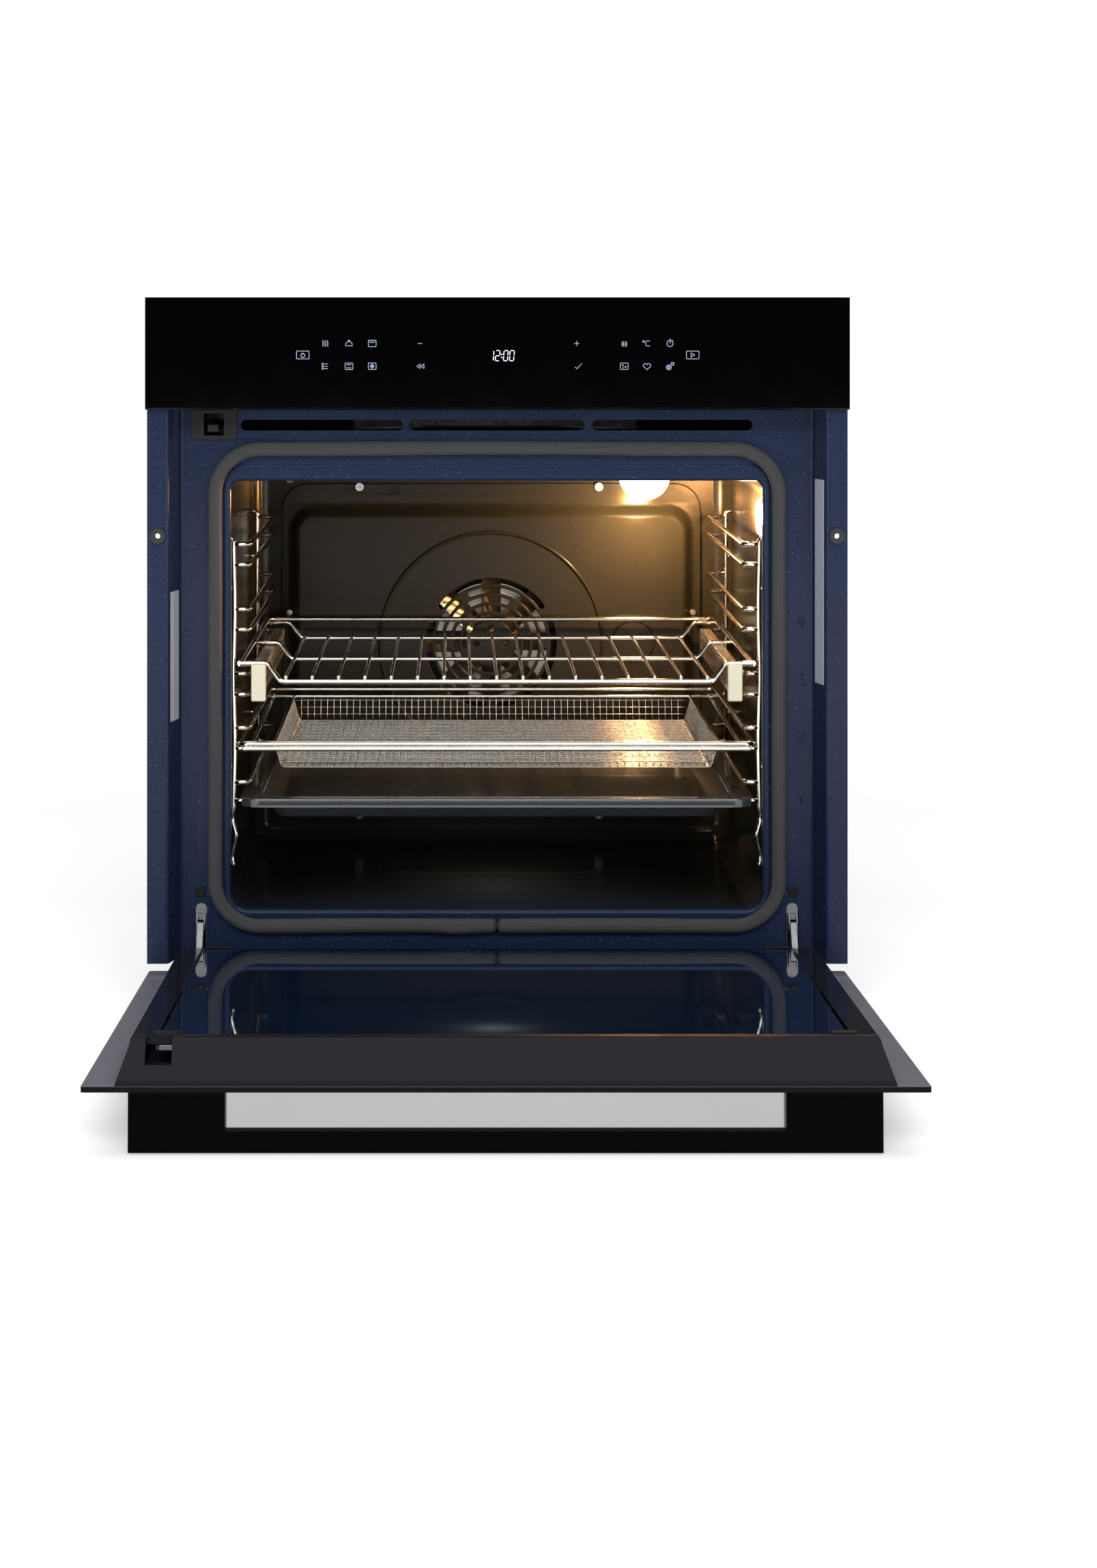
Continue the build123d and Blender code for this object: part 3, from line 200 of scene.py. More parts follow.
def softened(node, width):
    """A copy of a CAD node with its points merged and a small round bevel on each real edge."""
    thing = NODES[node].copy()
    thing.data = NODES[node].data.copy()
    thing.name = node + "_finished"
    thing.parent = None
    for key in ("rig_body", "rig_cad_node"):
        if key in thing:
            del thing[key]
    bpy.context.scene.collection.objects.link(thing)
    work = bmesh.new()
    work.from_mesh(thing.data)
    bmesh.ops.remove_doubles(work, verts=work.verts, dist=CAD_WELD * MM)
    bmesh.ops.dissolve_limit(
        work,
        angle_limit=FLAT_ANGLE,
        use_dissolve_boundaries=False,
        verts=work.verts,
        edges=work.edges,
    )
    work.to_mesh(thing.data)
    work.free()
    shade(thing, EDGE_ANGLE)
    bevel = thing.modifiers.new("round", "BEVEL")
    bevel.width = width * MM
    bevel.segments = BEVEL_STEPS
    bevel.limit_method = "ANGLE"
    bevel.angle_limit = math.radians(EDGE_ANGLE)
    bevel.use_clamp_overlap = True
    even_normals(thing)
    return stands_for(thing, node)


def even_normals(thing):
    """Normals weighted by face area, so that flat faces stay flat beside their rounded edges."""
    weighted = thing.modifiers.new("even", "WEIGHTED_NORMAL")
    weighted.keep_sharp = True


def sheet_metal(surface, name, thickness, forward=(0, -1, 0)):
    """An open pressed sheet made solid: its points merged, its faces turned forward on the whole,
    and its thickness added behind them."""
    thing = surface.piece(name, merge=0.002, smooth=40)
    mesh = thing.data
    areas = np.empty(len(mesh.polygons))
    normals = np.empty(3 * len(mesh.polygons))
    mesh.polygons.foreach_get("area", areas)
    mesh.polygons.foreach_get("normal", normals)
    if (areas[:, None] * normals.reshape(-1, 3)).sum(0) @ np.array(forward, float) < 0:
        mesh.flip_normals()
    solid = thing.modifiers.new("thickness", "SOLIDIFY")
    solid.thickness = thickness * MM
    solid.offset = -1
    even_normals(thing)
    return thing


def upright(outline, depth):
    """Points (x, height) of the front view placed at a depth behind the control glass."""
    return np.stack([outline[:, 0], np.full(len(outline), FRONT + depth), outline[:, 1]], 1)


def loop(x0, x1, z0, z1, low, high=None, grow=0.0, steps=10):
    """A rectangle's outline in the front view, grown outward all round. Its corners are quarter
    circles, of one radius below and another above."""
    high = low if high is None else high
    corners = ((x1, z0, low, -90), (x1, z1, high, 0), (x0, z1, high, 90), (x0, z0, low, 180))
    arcs = []
    for x, z, radius, start in corners:
        turn = np.radians(np.linspace(start, start + 90, steps + 1))
        x_centre = x - math.copysign(radius, x - (x0 + x1) / 2)
        z_centre = z - math.copysign(radius, z - (z0 + z1) / 2)
        ring = np.stack([np.cos(turn), np.sin(turn)], 1)
        arcs.append((x_centre, z_centre) + (radius + grow) * ring)
    return np.concatenate(arcs)


def circle(x, z, radius, steps=32):
    """A circle's outline in the front view."""
    turn = np.arange(steps) / steps * CIRCLE
    return np.stack([x + radius * np.cos(turn), z + radius * np.sin(turn)], 1)


def rolled(radius, depth, end, steps=5):
    """The edge of a hole rolled backward: (grow, depth) along a quarter circle, and straight to
    an end."""
    turn = np.linspace(0, math.pi / 2, steps + 1)
    roll = [(radius - radius * math.sin(t), depth + radius - radius * math.cos(t)) for t in turn]
    return roll + [(0.0, end)]


def bent(points, radius, steps=8):
    """A path through points with each corner turned into an arc: the arc's two ends lie where a
    circle of the radius touches the two runs, and its middle points are turned about the circle's
    centre."""
    points = [np.array(p, float) for p in points]
    path = [points[0]]
    for before, corner, after in zip(points, points[1:], points[2:]):
        inward = (before - corner) / np.linalg.norm(before - corner)
        outward = (after - corner) / np.linalg.norm(after - corner)
        half = math.acos(np.clip(inward @ outward, -1, 1)) / 2
        if abs(half - math.pi / 2) < 1e-3:
            path.append(corner)
            continue
        middle = inward + outward
        centre = corner + middle / np.linalg.norm(middle) * radius / math.sin(half)
        start = corner + inward * radius / math.tan(half) - centre
        end = corner + outward * radius / math.tan(half) - centre
        sweep = math.acos(np.clip(start @ end / radius**2, -1, 1))
        turn = np.linspace(0, 1, steps + 1)[:, None]
        arc = (np.sin((1 - turn) * sweep) * start + np.sin(turn * sweep) * end) / math.sin(sweep)
        path += list(centre + arc)
    path.append(points[-1])
    return np.array(path)


def divided(path, length, close=False):
    """The same path with points no further apart than a length, at equal steps along it."""
    closed = np.vstack([path, path[:1]]) if close else path
    runs = np.linalg.norm(np.diff(closed, axis=0), axis=1)
    place = np.concatenate([[0], np.cumsum(runs)])
    count = max(2, int(place[-1] / length) + 1)
    at = np.linspace(0, place[-1], count + 1)
    even = np.stack([np.interp(at, place, closed[:, k]) for k in range(3)], 1)
    return even[:-1] if close else even


END_RINGS = ((0.0, 0.02), (0.08, 0.72), (0.35, 1.0))


def tube(surface, path, radius, reference, sides=12, close=False, size=(1, 1)):
    """A round tube: at each point of the path, a circle in the plane square to the path, with its
    first direction the cross product of the path's direction and the reference. Open ends are
    rounded by two smaller rings."""
    path = np.asarray(path, float)
    if close:
        along = np.roll(path, -1, 0) - np.roll(path, 1, 0)
    else:
        along = np.gradient(path, axis=0)
    along /= np.linalg.norm(along, axis=1)[:, None]
    side = np.cross(along, np.asarray(reference, float))
    side /= np.linalg.norm(side, axis=1)[:, None]
    up = np.cross(side, along)
    radii = np.broadcast_to(np.asarray(radius, float), len(path)).copy()
    if not close:
        first = radii[0]
        places, shares = np.array(END_RINGS).T
        path, side, up = (np.pad(rows, ((2, 2), (0, 0)), "edge") for rows in (path, side, up))
        path[:3] += along[:1] * first * places[:, None]
        path[-3:] -= along[-1:] * first * places[::-1, None]
        radii = np.concatenate([first * shares[:2], radii, first * shares[1::-1]])
    turn = np.arange(sides) / sides * CIRCLE
    ring = np.cos(turn)[None, :, None] * side[:, None] + np.sin(turn)[None, :, None] * up[:, None]
    points = path[:, None] + radii[:, None, None] * ring
    surface.grid(points, across=True, along=close, size=size, flip=True)


# ---------------------------------------------------------------- shader maths


class Value:
    """A shader socket that takes Python's operators, each of which adds a Math node."""

    def __init__(self, shader, socket):
        self.shader = shader
        self.socket = socket

    def math(self, operation, *others):
        inputs = dict(enumerate((self, *others)))
        return self.shader.node("ShaderNodeMath", {"operation": operation}, inputs)

    def __add__(self, other):
        return self.math("ADD", other)

    def __sub__(self, other):
        return self.math("SUBTRACT", other)

    def __mul__(self, other):
        return self.math("MULTIPLY", other)

    def __truediv__(self, other):
        return self.math("DIVIDE", other)

    def __rsub__(self, other):
        return (self * -1.0) + other

    __radd__ = __add__
    __rmul__ = __mul__

    def limited(self):
        self.socket.node.use_clamp = True
        return self

    def sine(self):
        return self.math("SINE")

    def above(self, level, soft=0.0):
        """1 above a level and 0 below it, with a soft step of a width."""
        if not soft:
            return self.math("GREATER_THAN", level)
        return ((self - (level - soft / 2)) / soft).limited()


class Shader:
    """A material's nodes, added one at a time by type, settings and inputs."""

    def __init__(self, name):
        self.material = bpy.data.materials.new(name)
        self.material.use_nodes = True
        self.tree = self.material.node_tree
        self.tree.nodes.clear()
        self.output = self.tree.nodes.new("ShaderNodeOutputMaterial")

    def node(self, kind, settings=None, inputs=None, output=0):
        """A node of a kind: its settings first, then its inputs, as numbers, colours or links."""
        made = self.tree.nodes.new(kind)
        for key, value in (settings or {}).items():
            setattr(made, key, value)
        for key, value in (inputs or {}).items():
            self.put(made.inputs[key], value)
        return Value(self, made.outputs[output])

    def put(self, socket, value):
        """A link, a colour or a number into a socket."""
        if isinstance(value, Value):
            self.tree.links.new(value.socket, socket)
        elif socket.type == "RGBA" and len(value) == 3:
            socket.default_value = (*value, 1.0)
        else:
            socket.default_value = value

    def place(self, scale=(1, 1, 1)):
        """Object coordinates, scaled."""
        spot = self.node("ShaderNodeTexCoord", output="Object")
        return self.node("ShaderNodeMapping", inputs={"Vector": spot, "Scale": scale})

    def noise(self, scale, detail=2.0, where=None):
        """Noise of a scale per metre, from 0 to 1."""
        inputs = {"Vector": where or self.place(), "Scale": scale, "Detail": detail}
        return self.node("ShaderNodeTexNoise", inputs=inputs)

    def cells(self, scale, output=0):
        """Round cells of a scale per metre: the distance from each cell's middle, or its
        colour."""
        inputs = {"Vector": self.place(), "Scale": scale}
        return self.node("ShaderNodeTexVoronoi", inputs=inputs, output=output)

    def part(self, vector, axis):
        """One part of a vector, X, Y or Z."""
        return self.node("ShaderNodeSeparateXYZ", inputs={"Vector": vector}, output=axis)

    def mixed(self, amount, first, second):
        """One colour to another by an amount."""
        made = self.tree.nodes.new("ShaderNodeMix")
        made.data_type = "RGBA"
        for slot, value in zip((0, 6, 7), (amount, first, second)):
            self.put(made.inputs[slot], value)
        return Value(self, made.outputs[2])

    def bump(self, height, depth):
        """A bump from a height, depth metres deep where the height is 1."""
        inputs = {"Height": height, "Distance": depth, "Strength": 1.0}
        return self.node("ShaderNodeBump", inputs=inputs)

    def surface(self, **inputs):
        """The principled surface, with underscores for the spaces in its sockets' names."""
        made = self.tree.nodes.new("ShaderNodeBsdfPrincipled")
        for key, value in inputs.items():
            self.put(made.inputs[key.replace("_", " ")], value)
        self.tree.links.new(made.outputs[0], self.output.inputs[0])
        return self.material


def navy_enamel():
    """Glossy fired enamel: navy with two sizes of pale specks and a faint orange-peel surface."""
    s = Shader("navy_enamel")
    cloud = s.noise(9.0, 2.0)
    specks = (1 - s.cells(900.0).above(0.16, 0.08)) * s.noise(520.0, 0.0).above(0.56, 0.1)
    dots = (1 - s.cells(330.0).above(0.1, 0.05)) * s.noise(190.0, 0.0).above(0.62, 0.05)
    base = s.mixed(cloud, (0.0095, 0.0165, 0.043), (0.0145, 0.024, 0.059))
    colour = s.mixed((specks * 0.34 + dots * 0.6).limited(), base, (0.36, 0.4, 0.5))
    peel = s.noise(130.0, 1.0)
    return s.surface(
        Base_Color=colour,
        Roughness=s.noise(40.0) * 0.05 + 0.13,
        Specular_IOR_Level=0.13,
        Normal=s.bump(peel, 0.00006),
    )


PAINTED_LIGHT_DEPTH, PAINTED_LIGHT_FADE = 130, 0.14
PAINTED_LIGHT_HEIGHT, PAINTED_LIGHT_HEIGHT_FADE = 0.085, 0.04


def cavity_enamel():
    """The cavity's darker enamel, a little warmer, with fine specks and faint wiping marks. Low
    down behind the mouth it turns to the front's brighter navy: painted light, where the front
    light falls on the cavity floor."""
    s = Shader("cavity_enamel")
    specks = (1 - s.cells(700.0).above(0.14, 0.06)) * s.noise(400.0, 0.0).above(0.6, 0.1)
    haze = s.noise(14.0, 4.0)
    base = s.mixed(haze, (0.0115, 0.0125, 0.0095), (0.0165, 0.0175, 0.013))
    inward = s.part(s.place(), "Y")
    height = s.part(s.place(), "Z")
    # painted light: a brighter navy on the cavity floor's front strip, low down behind the mouth
    ahead = 1 - inward.above((FRONT + PAINTED_LIGHT_DEPTH) * MM, PAINTED_LIGHT_FADE)
    mouth = ahead * (1 - height.above(PAINTED_LIGHT_HEIGHT, PAINTED_LIGHT_HEIGHT_FADE))
    base = s.mixed(mouth, base, (0.034, 0.046, 0.08))
    return s.surface(
        Base_Color=s.mixed(specks * 0.25, base, (0.3, 0.29, 0.25)),
        Roughness=haze * 0.14 + 0.13,
        Specular_IOR_Level=0.17,
        Normal=s.bump(s.noise(90.0, 1.0), 0.00008),
    )


def tray_enamel():
    """The tray's slate enamel: glossier than the front's, with fine pale specks."""
    s = Shader("tray_enamel")
    specks = (1 - s.cells(620.0).above(0.14, 0.06)) * s.noise(380.0, 0.0).above(0.58, 0.1)
    base = s.mixed(s.noise(11.0, 3.0), (0.03, 0.034, 0.036), (0.043, 0.048, 0.051))
    return s.surface(
        Base_Color=s.mixed(specks * 0.4, base, (0.4, 0.42, 0.45)),
        Roughness=s.noise(30.0) * 0.06 + 0.12,
        Specular_IOR_Level=0.8,
        Coat_Weight=0.4,
        Normal=s.bump(s.noise(110.0, 1.0), 0.00006),
    )


def chrome(name, roughness, tint):
    """Bright plated wire with faint smudges along it."""
    s = Shader(name)
    smudge = s.noise(60.0, 3.0)
    return s.surface(
        Base_Color=s.mixed(smudge, tint, tuple(0.82 * c for c in tint)),
        Metallic=1.0,
        Roughness=smudge * 0.12 + roughness,
        Normal=s.bump(s.noise(500.0, 2.0), 0.00001),
    )


def plain_steel(name, colour, roughness, grain=(1, 1, 1)):
    """Sheet or drawn metal with its grain stretched along one direction."""
    s = Shader(name)
    lines = s.noise(300.0, 3.0, where=s.place(scale=grain))
    return s.surface(
        Base_Color=s.mixed(lines, colour, tuple(0.75 * c for c in colour)),
        Metallic=1.0,
        Roughness=lines * 0.15 + roughness,
        Normal=s.bump(lines, 0.00001),
    )


def galvanised():
    """Zinc-coated sheet: large soft crystals of slightly different greys."""
    s = Shader("galvanised_sheet")
    crystals = s.cells(160.0, output="Color")
    bright = s.node("ShaderNodeSeparateColor", inputs={"Color": crystals})
    return s.surface(
        Base_Color=s.mixed(bright, (0.26, 0.265, 0.27), (0.4, 0.405, 0.41)),
        Metallic=1.0,
        Roughness=bright * 0.14 + 0.34,
        Normal=s.bump(bright, 0.00002),
    )


def moulded(name, colour, roughness, grain=1600.0, depth=0.00003, gloss=0.5):
    """Moulded plastic with a fine spark-eroded grain."""
    s = Shader(name)
    grainy = s.noise(grain, 2.0)
    patch = s.noise(30.0, 2.0)
    return s.surface(
        Base_Color=s.mixed(patch, colour, tuple(min(1.0, 1.18 * c) for c in colour)),
        Roughness=patch * 0.08 + roughness,
        Specular_IOR_Level=gloss,
        Normal=s.bump(grainy, depth),
    )


def polished_black(name, colour, roughness, gloss=0.5):
    """Polished black glass or lacquer, with the faintest dust in its gloss."""
    s = Shader(name)
    dust = s.noise(45.0, 4.0)
    return s.surface(
        Base_Color=s.mixed(dust, colour, tuple(1.5 * c for c in colour)),
        Roughness=dust * 0.03 + roughness,
        Specular_IOR_Level=gloss,
    )


def door_pane():
    """The outer pane: glossy black outside, and a lilac-grey printed back on its inner face."""
    s = Shader("door_pane")
    facing = s.node("ShaderNodeTexCoord", output="Normal")
    inner = s.part(facing, "Z").above(0.6)
    print_tone = s.noise(25.0, 3.0)
    back = s.mixed(print_tone, (0.15, 0.14, 0.17), (0.185, 0.173, 0.21))
    return s.surface(
        Base_Color=s.mixed(inner, (0.003, 0.003, 0.004), back),
        Roughness=inner * 0.3 + 0.04,
        Specular_IOR_Level=0.07,
        Normal=s.bump(s.noise(900.0, 1.0) * inner, 0.00001),
    )


def coated_pane():
    """The inner pane: a deep blue heat-reflecting coat under polished glass."""
    s = Shader("coated_pane")
    haze = s.noise(6.0, 2.0)
    return s.surface(
        Base_Color=s.mixed(haze, (0.004, 0.011, 0.03), (0.006, 0.016, 0.042)),
        Roughness=haze * 0.02 + 0.015,
        IOR=1.75,
        Coat_Weight=0.35,
    )


def braid():
    """Glass-fibre braid: two sets of strands crossing at a slant, on the tube's own UV map,
    with fine fibres along each strand. Its colour follows the bump's height: painted shade darker
    in the gaps, and a painted highlight lighter on the strands."""
    s = Shader("gasket_braid")
    spot = s.node("ShaderNodeUVMap")
    along, around = s.part(spot, "X"), s.part(spot, "Y")
    right = (along * 2300.0 + around * CIRCLE * 14).sine()
    left = (along * 2300.0 - around * CIRCLE * 14).sine()
    weave = right.math("MAXIMUM", left) * 0.5 + 0.5
    ribs = (around * CIRCLE * 30 + s.noise(8.0) * 1.5).sine() * 0.5 + 0.5
    fuzz = s.noise(1400.0, 2.0)
    height = weave * 0.3 + ribs * 0.6 + fuzz * 0.2
    worn = s.noise(35.0, 3.0)
    worn_tone_and_gap_shade = s.mixed(worn, (0.008, 0.008, 0.009), (0.018, 0.018, 0.02))
    return s.surface(
        # painted shade and highlight: the colour runs from dark in the low gaps to light on the
        # raised strands
        Base_Color=s.mixed((height * 0.9).limited(), worn_tone_and_gap_shade, (0.055, 0.055, 0.06)),
        Roughness=0.5 + fuzz * 0.2,
        Sheen_Weight=0.06,
        Sheen_Roughness=0.5,
        Normal=s.bump(height, 0.0005),
    )


def wool():
    """Yellow-grey mineral wool."""
    s = Shader("mineral_wool")
    fibre = s.noise(220.0, 5.0, where=s.place(scale=(1, 1, 4)))
    return s.surface(
        Base_Color=s.mixed(fibre, (0.5, 0.44, 0.27), (0.66, 0.6, 0.42)),
        Roughness=0.95,
        Normal=s.bump(fibre, 0.0015),
    )


def glowing(name, colour, strength):
    """A surface that gives light of one colour."""
    s = Shader(name)
    return s.surface(
        Base_Color=colour, Roughness=0.3, Emission_Color=colour, Emission_Strength=strength
    )


def lamp_glass():
    """Pressed glass in front of a lit lamp: it glows warmly and stays glossy."""
    s = Shader("lit_lamp_glass")
    rays = s.noise(90.0, 1.0)
    return s.surface(
        Base_Color=(1.0, 0.9, 0.7),
        Roughness=0.15,
        Emission_Color=s.mixed(rays, (1.0, 0.72, 0.38), (1.0, 0.86, 0.6)),
        Emission_Strength=26.0,
        Normal=s.bump(rays, 0.0004),
    )


def clear_pane():
    """Plain float glass, faintly green."""
    s = Shader("clear_pane")
    haze = s.noise(12.0, 2.0)
    return s.surface(
        Base_Color=(0.82, 0.9, 0.87),
        Roughness=haze * 0.02 + 0.01,
        Transmission_Weight=1.0,
        IOR=1.5,
    )


def board():
    """A green circuit board with pale tracks."""
    s = Shader("circuit_board")
    inputs = {"Vector": s.place(), "Scale": 60.0, "Mortar Size": 0.02}
    tracks = s.node("ShaderNodeTexBrick", inputs=inputs)
    return s.surface(
        Base_Color=s.mixed(tracks, (0.01, 0.09, 0.03), (0.02, 0.16, 0.06)), Roughness=0.4
    )


def sticker():
    """A blank matt sticker, a little mottled."""
    s = Shader("blank_sticker")
    tone = s.noise(160.0, 2.0)
    return s.surface(
        Base_Color=s.mixed(tone, (0.4, 0.43, 0.52), (0.5, 0.53, 0.61)), Roughness=0.45
    )


NAVY = navy_enamel()
CAVITY = cavity_enamel()
CHROME = chrome("chromed_wire", 0.06, (0.88, 0.84, 0.76))
STAINLESS = chrome("stainless_mesh", 0.16, (0.52, 0.5, 0.44))
STEEL = plain_steel("drawn_steel", (0.62, 0.61, 0.59), 0.2, (1, 0.03, 1))
DULL_STEEL = plain_steel("element_steel", (0.2, 0.19, 0.18), 0.4)
BLADE = plain_steel("blade_steel", (0.72, 0.68, 0.6), 0.28, (1, 1, 0.1))
ZINC = galvanised()
HINGE_STEEL = plain_steel("hinge_steel", (0.3, 0.31, 0.32), 0.26)
BLACK_GLASS = polished_black("control_glass_black", (0.0005, 0.0005, 0.0007), 0.03, gloss=0.2)
BLACK_GLOSS = polished_black("black_lacquer", (0.0006, 0.0006, 0.0008), 0.22, 0.025)
RAIL_BLACK = polished_black("rail_lacquer", (0.006, 0.006, 0.008), 0.12)
BLACK_PLASTIC = moulded("black_plastic", (0.0035, 0.0035, 0.004), 0.36, gloss=0.2)
CHARCOAL = moulded("charcoal_plastic", (0.0082, 0.0076, 0.0104), 0.42, depth=0.00005, gloss=0.08)
RUBBER = moulded("black_rubber", (0.01, 0.01, 0.011), 0.6, 700.0)
CREAM = moulded("cream_plastic", (0.62, 0.58, 0.43), 0.36)
BRAID = braid()
# painted shade: the galvanised air duct behind the vents is made near black, as the shade inside
# them
DUCT_STEEL_PAINTED_SHADE = plain_steel("duct_steel_painted_shade", (0.03, 0.03, 0.032), 0.45)
TRAY_ENAMEL = tray_enamel()
# painted glow: the printed ink gives light of its own, though it is print and no lamp
PRINT_INK_PAINTED_GLOW = glowing("panel_print_painted_glow", (0.42, 0.5, 0.66), 0.3)
CLOCK_LIGHT = glowing("clock_light", (0.86, 0.93, 1.0), 1.3)

FINISH_GROUPS = (
    (
        ZINC,
        "base_plate right_side_panel left_side_panel top_cover rear_cover fan_motor "
        "cooling_fan_housing cooling_fan_motor hinge_cases",
    ),
    (NAVY, "front_frame"),
    (RUBBER, "mounting_grommets"),
    (sticker(), "side_labels"),
    (BRAID, "door_gasket"),
    (CAVITY, "cavity_liner fan_cover"),
    (
        STEEL,
        "cavity_fasteners lamp_housings runner_rails runner_slides hinge_pins hinge_springs "
        "handle_screws",
    ),
    (BLADE, "convection_fan cooling_fan_wheel"),
    (DULL_STEEL, "ring_element grill_element bottom_element temperature_sensor"),
    (wool(), "insulation_wrap"),
    (lamp_glass(), "lamp_lenses"),
    (glowing("lamp_bulb", (1.0, 0.8, 0.5), 6.0), "lamp_bulbs"),
    (CHROME, "right_side_rack left_side_rack shelf_rim shelf_wires basket_frame"),
    (CREAM, "runner_end_caps"),
    (STAINLESS, "mesh_basket"),
    (TRAY_ENAMEL, "baking_tray"),
    (BLACK_GLASS, "control_glass"),
    (
        BLACK_PLASTIC,
        "control_housing terminal_block latch_housing latch_hook frame_screws "
        "door_bottom_channel glass_retainers",
    ),
    (board(), "circuit_boards"),
    (DUCT_STEEL_PAINTED_SHADE, "air_duct"),
    (HINGE_STEEL, "hinge_receivers hinge_arms right_lock_lever left_lock_lever"),
    (door_pane(), "door_outer_glass"),
    (RAIL_BLACK, "right_door_rail left_door_rail"),
    (CHARCOAL, "door_top_trim"),
    (clear_pane(), "door_middle_glass"),
    (coated_pane(), "door_inner_glass"),
    (BLACK_GLOSS, "door_handle"),
)
FINISHES = {node: finish for finish, nodes in FINISH_GROUPS for node in nodes.split()}


def finish(thing, material):
    """One material on the whole of a piece."""
    thing.data.materials.clear()
    thing.data.materials.append(material)
    return thing


RECORD = frame["record"]
BODIES = RECORD["behaviour"]["bodies"]
BODY_OF = {node: body for body, members in BODIES.items() for node in members}


def stands_for(thing, node):
    """A finished piece takes the place, the body and the finish of a CAD node."""
    finish(thing, FINISHES[node])
    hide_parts(node)
    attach(thing, BODY_OF[node])
    return thing


for node, material in FINISHES.items():
    finish(NODES[node], material)

# ---------------------------------------------------------------- the enamelled front


RECESS = 42.0
FRAME_SHEET = 1.0
MOUTH = (-228.0, 228.0, 70.6, 437.9, 15.0, 8.0)
RIDGE = (-234.6, 234.6, 64.0, 453.0, 20.0, 20.0)
RIDGE_RISE = 0.9
RIDGE_WIDTH = 2.0
MOUTH_ROLL = 3.4
MOUTH_END = 48.0
VENTS = ((-219.4, -81.0), (-75.0, 75.0), (82.0, 219.0))
VENT_LOW, VENT_HIGH, VENT_CORNER, VENT_ROLL = 481.4, 490.0, 4.2, 1.5
LATCH_SLOT = (-260.5, -223.7, 474.7, 508.0, 3.0)
HINGE_X, HINGE_SLOT_HALF, HINGE_SLOT_CORNER = 253.4, 4.85, 4.6
HINGE_SLOT_LOW, HINGE_SLOT_HIGH = 36.0, 76.0
HINGE_SLOT_ROLL = 0.5
FRAME_SCREW = (254.0, 86.5, 2.1)
GROMMET_HOLE = (287.5, 393.0, 3.4)
STEP_INNER, STEP_OUTER, STEP_BEND = 271.0, 278.5, 2.6
FLANGE_DEPTH = 8.0


def front_frame():
    """The front as one pressed sheet: the recessed plate with its vents and slots, a low ridge
    inside the gasket, the rolled edge of the mouth, and a slanted step and a flange on each
    side."""
    low, high = reach("front_frame")
    sheet = Surface()
    rim = STEP_INNER - STEP_BEND
    corners = np.array([(-rim, low[2]), (rim, low[2]), (rim, high[2]), (-rim, high[2])])
    vents = [(x0, x1, VENT_LOW, VENT_HIGH, VENT_CORNER) for x0, x1 in VENTS]
    heights = (HINGE_SLOT_LOW, HINGE_SLOT_HIGH, HINGE_SLOT_CORNER)
    slots = [(x - HINGE_SLOT_HALF, x + HINGE_SLOT_HALF, *heights) for x in (-HINGE_X, HINGE_X)]
    x, z, radius = FRAME_SCREW
    holes = [loop(*RIDGE), loop(*LATCH_SLOT), circle(-x, z, radius), circle(x, z, radius)]
    holes += [loop(*vent, grow=VENT_ROLL) for vent in vents]
    holes += [loop(*slot, grow=HINGE_SLOT_ROLL) for slot in slots]
    sheet.plate(RECESS, corners, holes)
    vent_edge = rolled(VENT_ROLL, RECESS, RECESS + 4.5)
    slot_edge = rolled(HINGE_SLOT_ROLL, RECESS, RECESS + FRAME_SHEET, 3)
    for openings, edge in ((vents, vent_edge), (slots, slot_edge)):
        for opening in openings:
            sheet.collar([(loop(*opening, grow=grow), depth) for grow, depth in edge])
    sheet.collar(mouth_rows())
    for side in (-1, 1):
        side_step(sheet, side, low[2], high[2])
    return stands_for(sheet_metal(sheet, "enamelled_front", FRAME_SHEET), "front_frame")


def mouth_rows():
    """From the plate to the mouth's back edge: a ridge that rises as half a cosine wave, a flat
    band, and a quarter-circle roll into the cavity."""
    rows = []
    for t in np.linspace(0, 1, 7):
        rise = RIDGE_RISE * (1 - math.cos(math.pi * t)) / 2
        rows.append((loop(*RIDGE, grow=-RIDGE_WIDTH * t), RECESS - rise))
    for grow, depth in rolled(MOUTH_ROLL, RECESS - RIDGE_RISE, MOUTH_END, 8):
        rows.append((loop(*MOUTH, grow=grow), depth))
    return rows


def side_step(sheet, side, low, high):
    """One side of the front: the slanted step with round bends, the flange with its grommet hole,
    and the flange's turned-back edge, all as a plan profile drawn up from the lowest to the
    highest point."""
    edge = reach("front_frame")[1][0]
    start, inner = STEP_INNER - STEP_BEND, STEP_OUTER + 5.0
    profile = [(start, RECESS), (STEP_INNER, RECESS)]
    profile += [(STEP_OUTER, FLANGE_DEPTH), (inner, FLANGE_DEPTH)]
    bend = bent([(x, depth, 0) for x, depth in profile], STEP_BEND, 6)
    bend[0] = (start, RECESS, 0)
    turn = np.linspace(0, math.pi / 2, 5)
    back = np.stack([edge - 1 + np.sin(turn), FLANGE_DEPTH + 1 - np.cos(turn), 0 * turn], 1)
    back = np.vstack([back, [(edge, FLANGE_DEPTH + 2.4, 0)]])
    for strip in (bend, back):
        placed = strip * (side, 1, 0) + (0, FRONT, 0)
        sheet.grid(np.stack([placed + (0, 0, z) for z in (low, high)]))
    x, z, radius = GROMMET_HOLE
    corners = ((inner, low), (edge - 1, low), (edge - 1, high), (inner, high))
    flange = np.array(corners) * (side, 1)
    sheet.plate(FLANGE_DEPTH, flange, [circle(side * x, z, radius)])


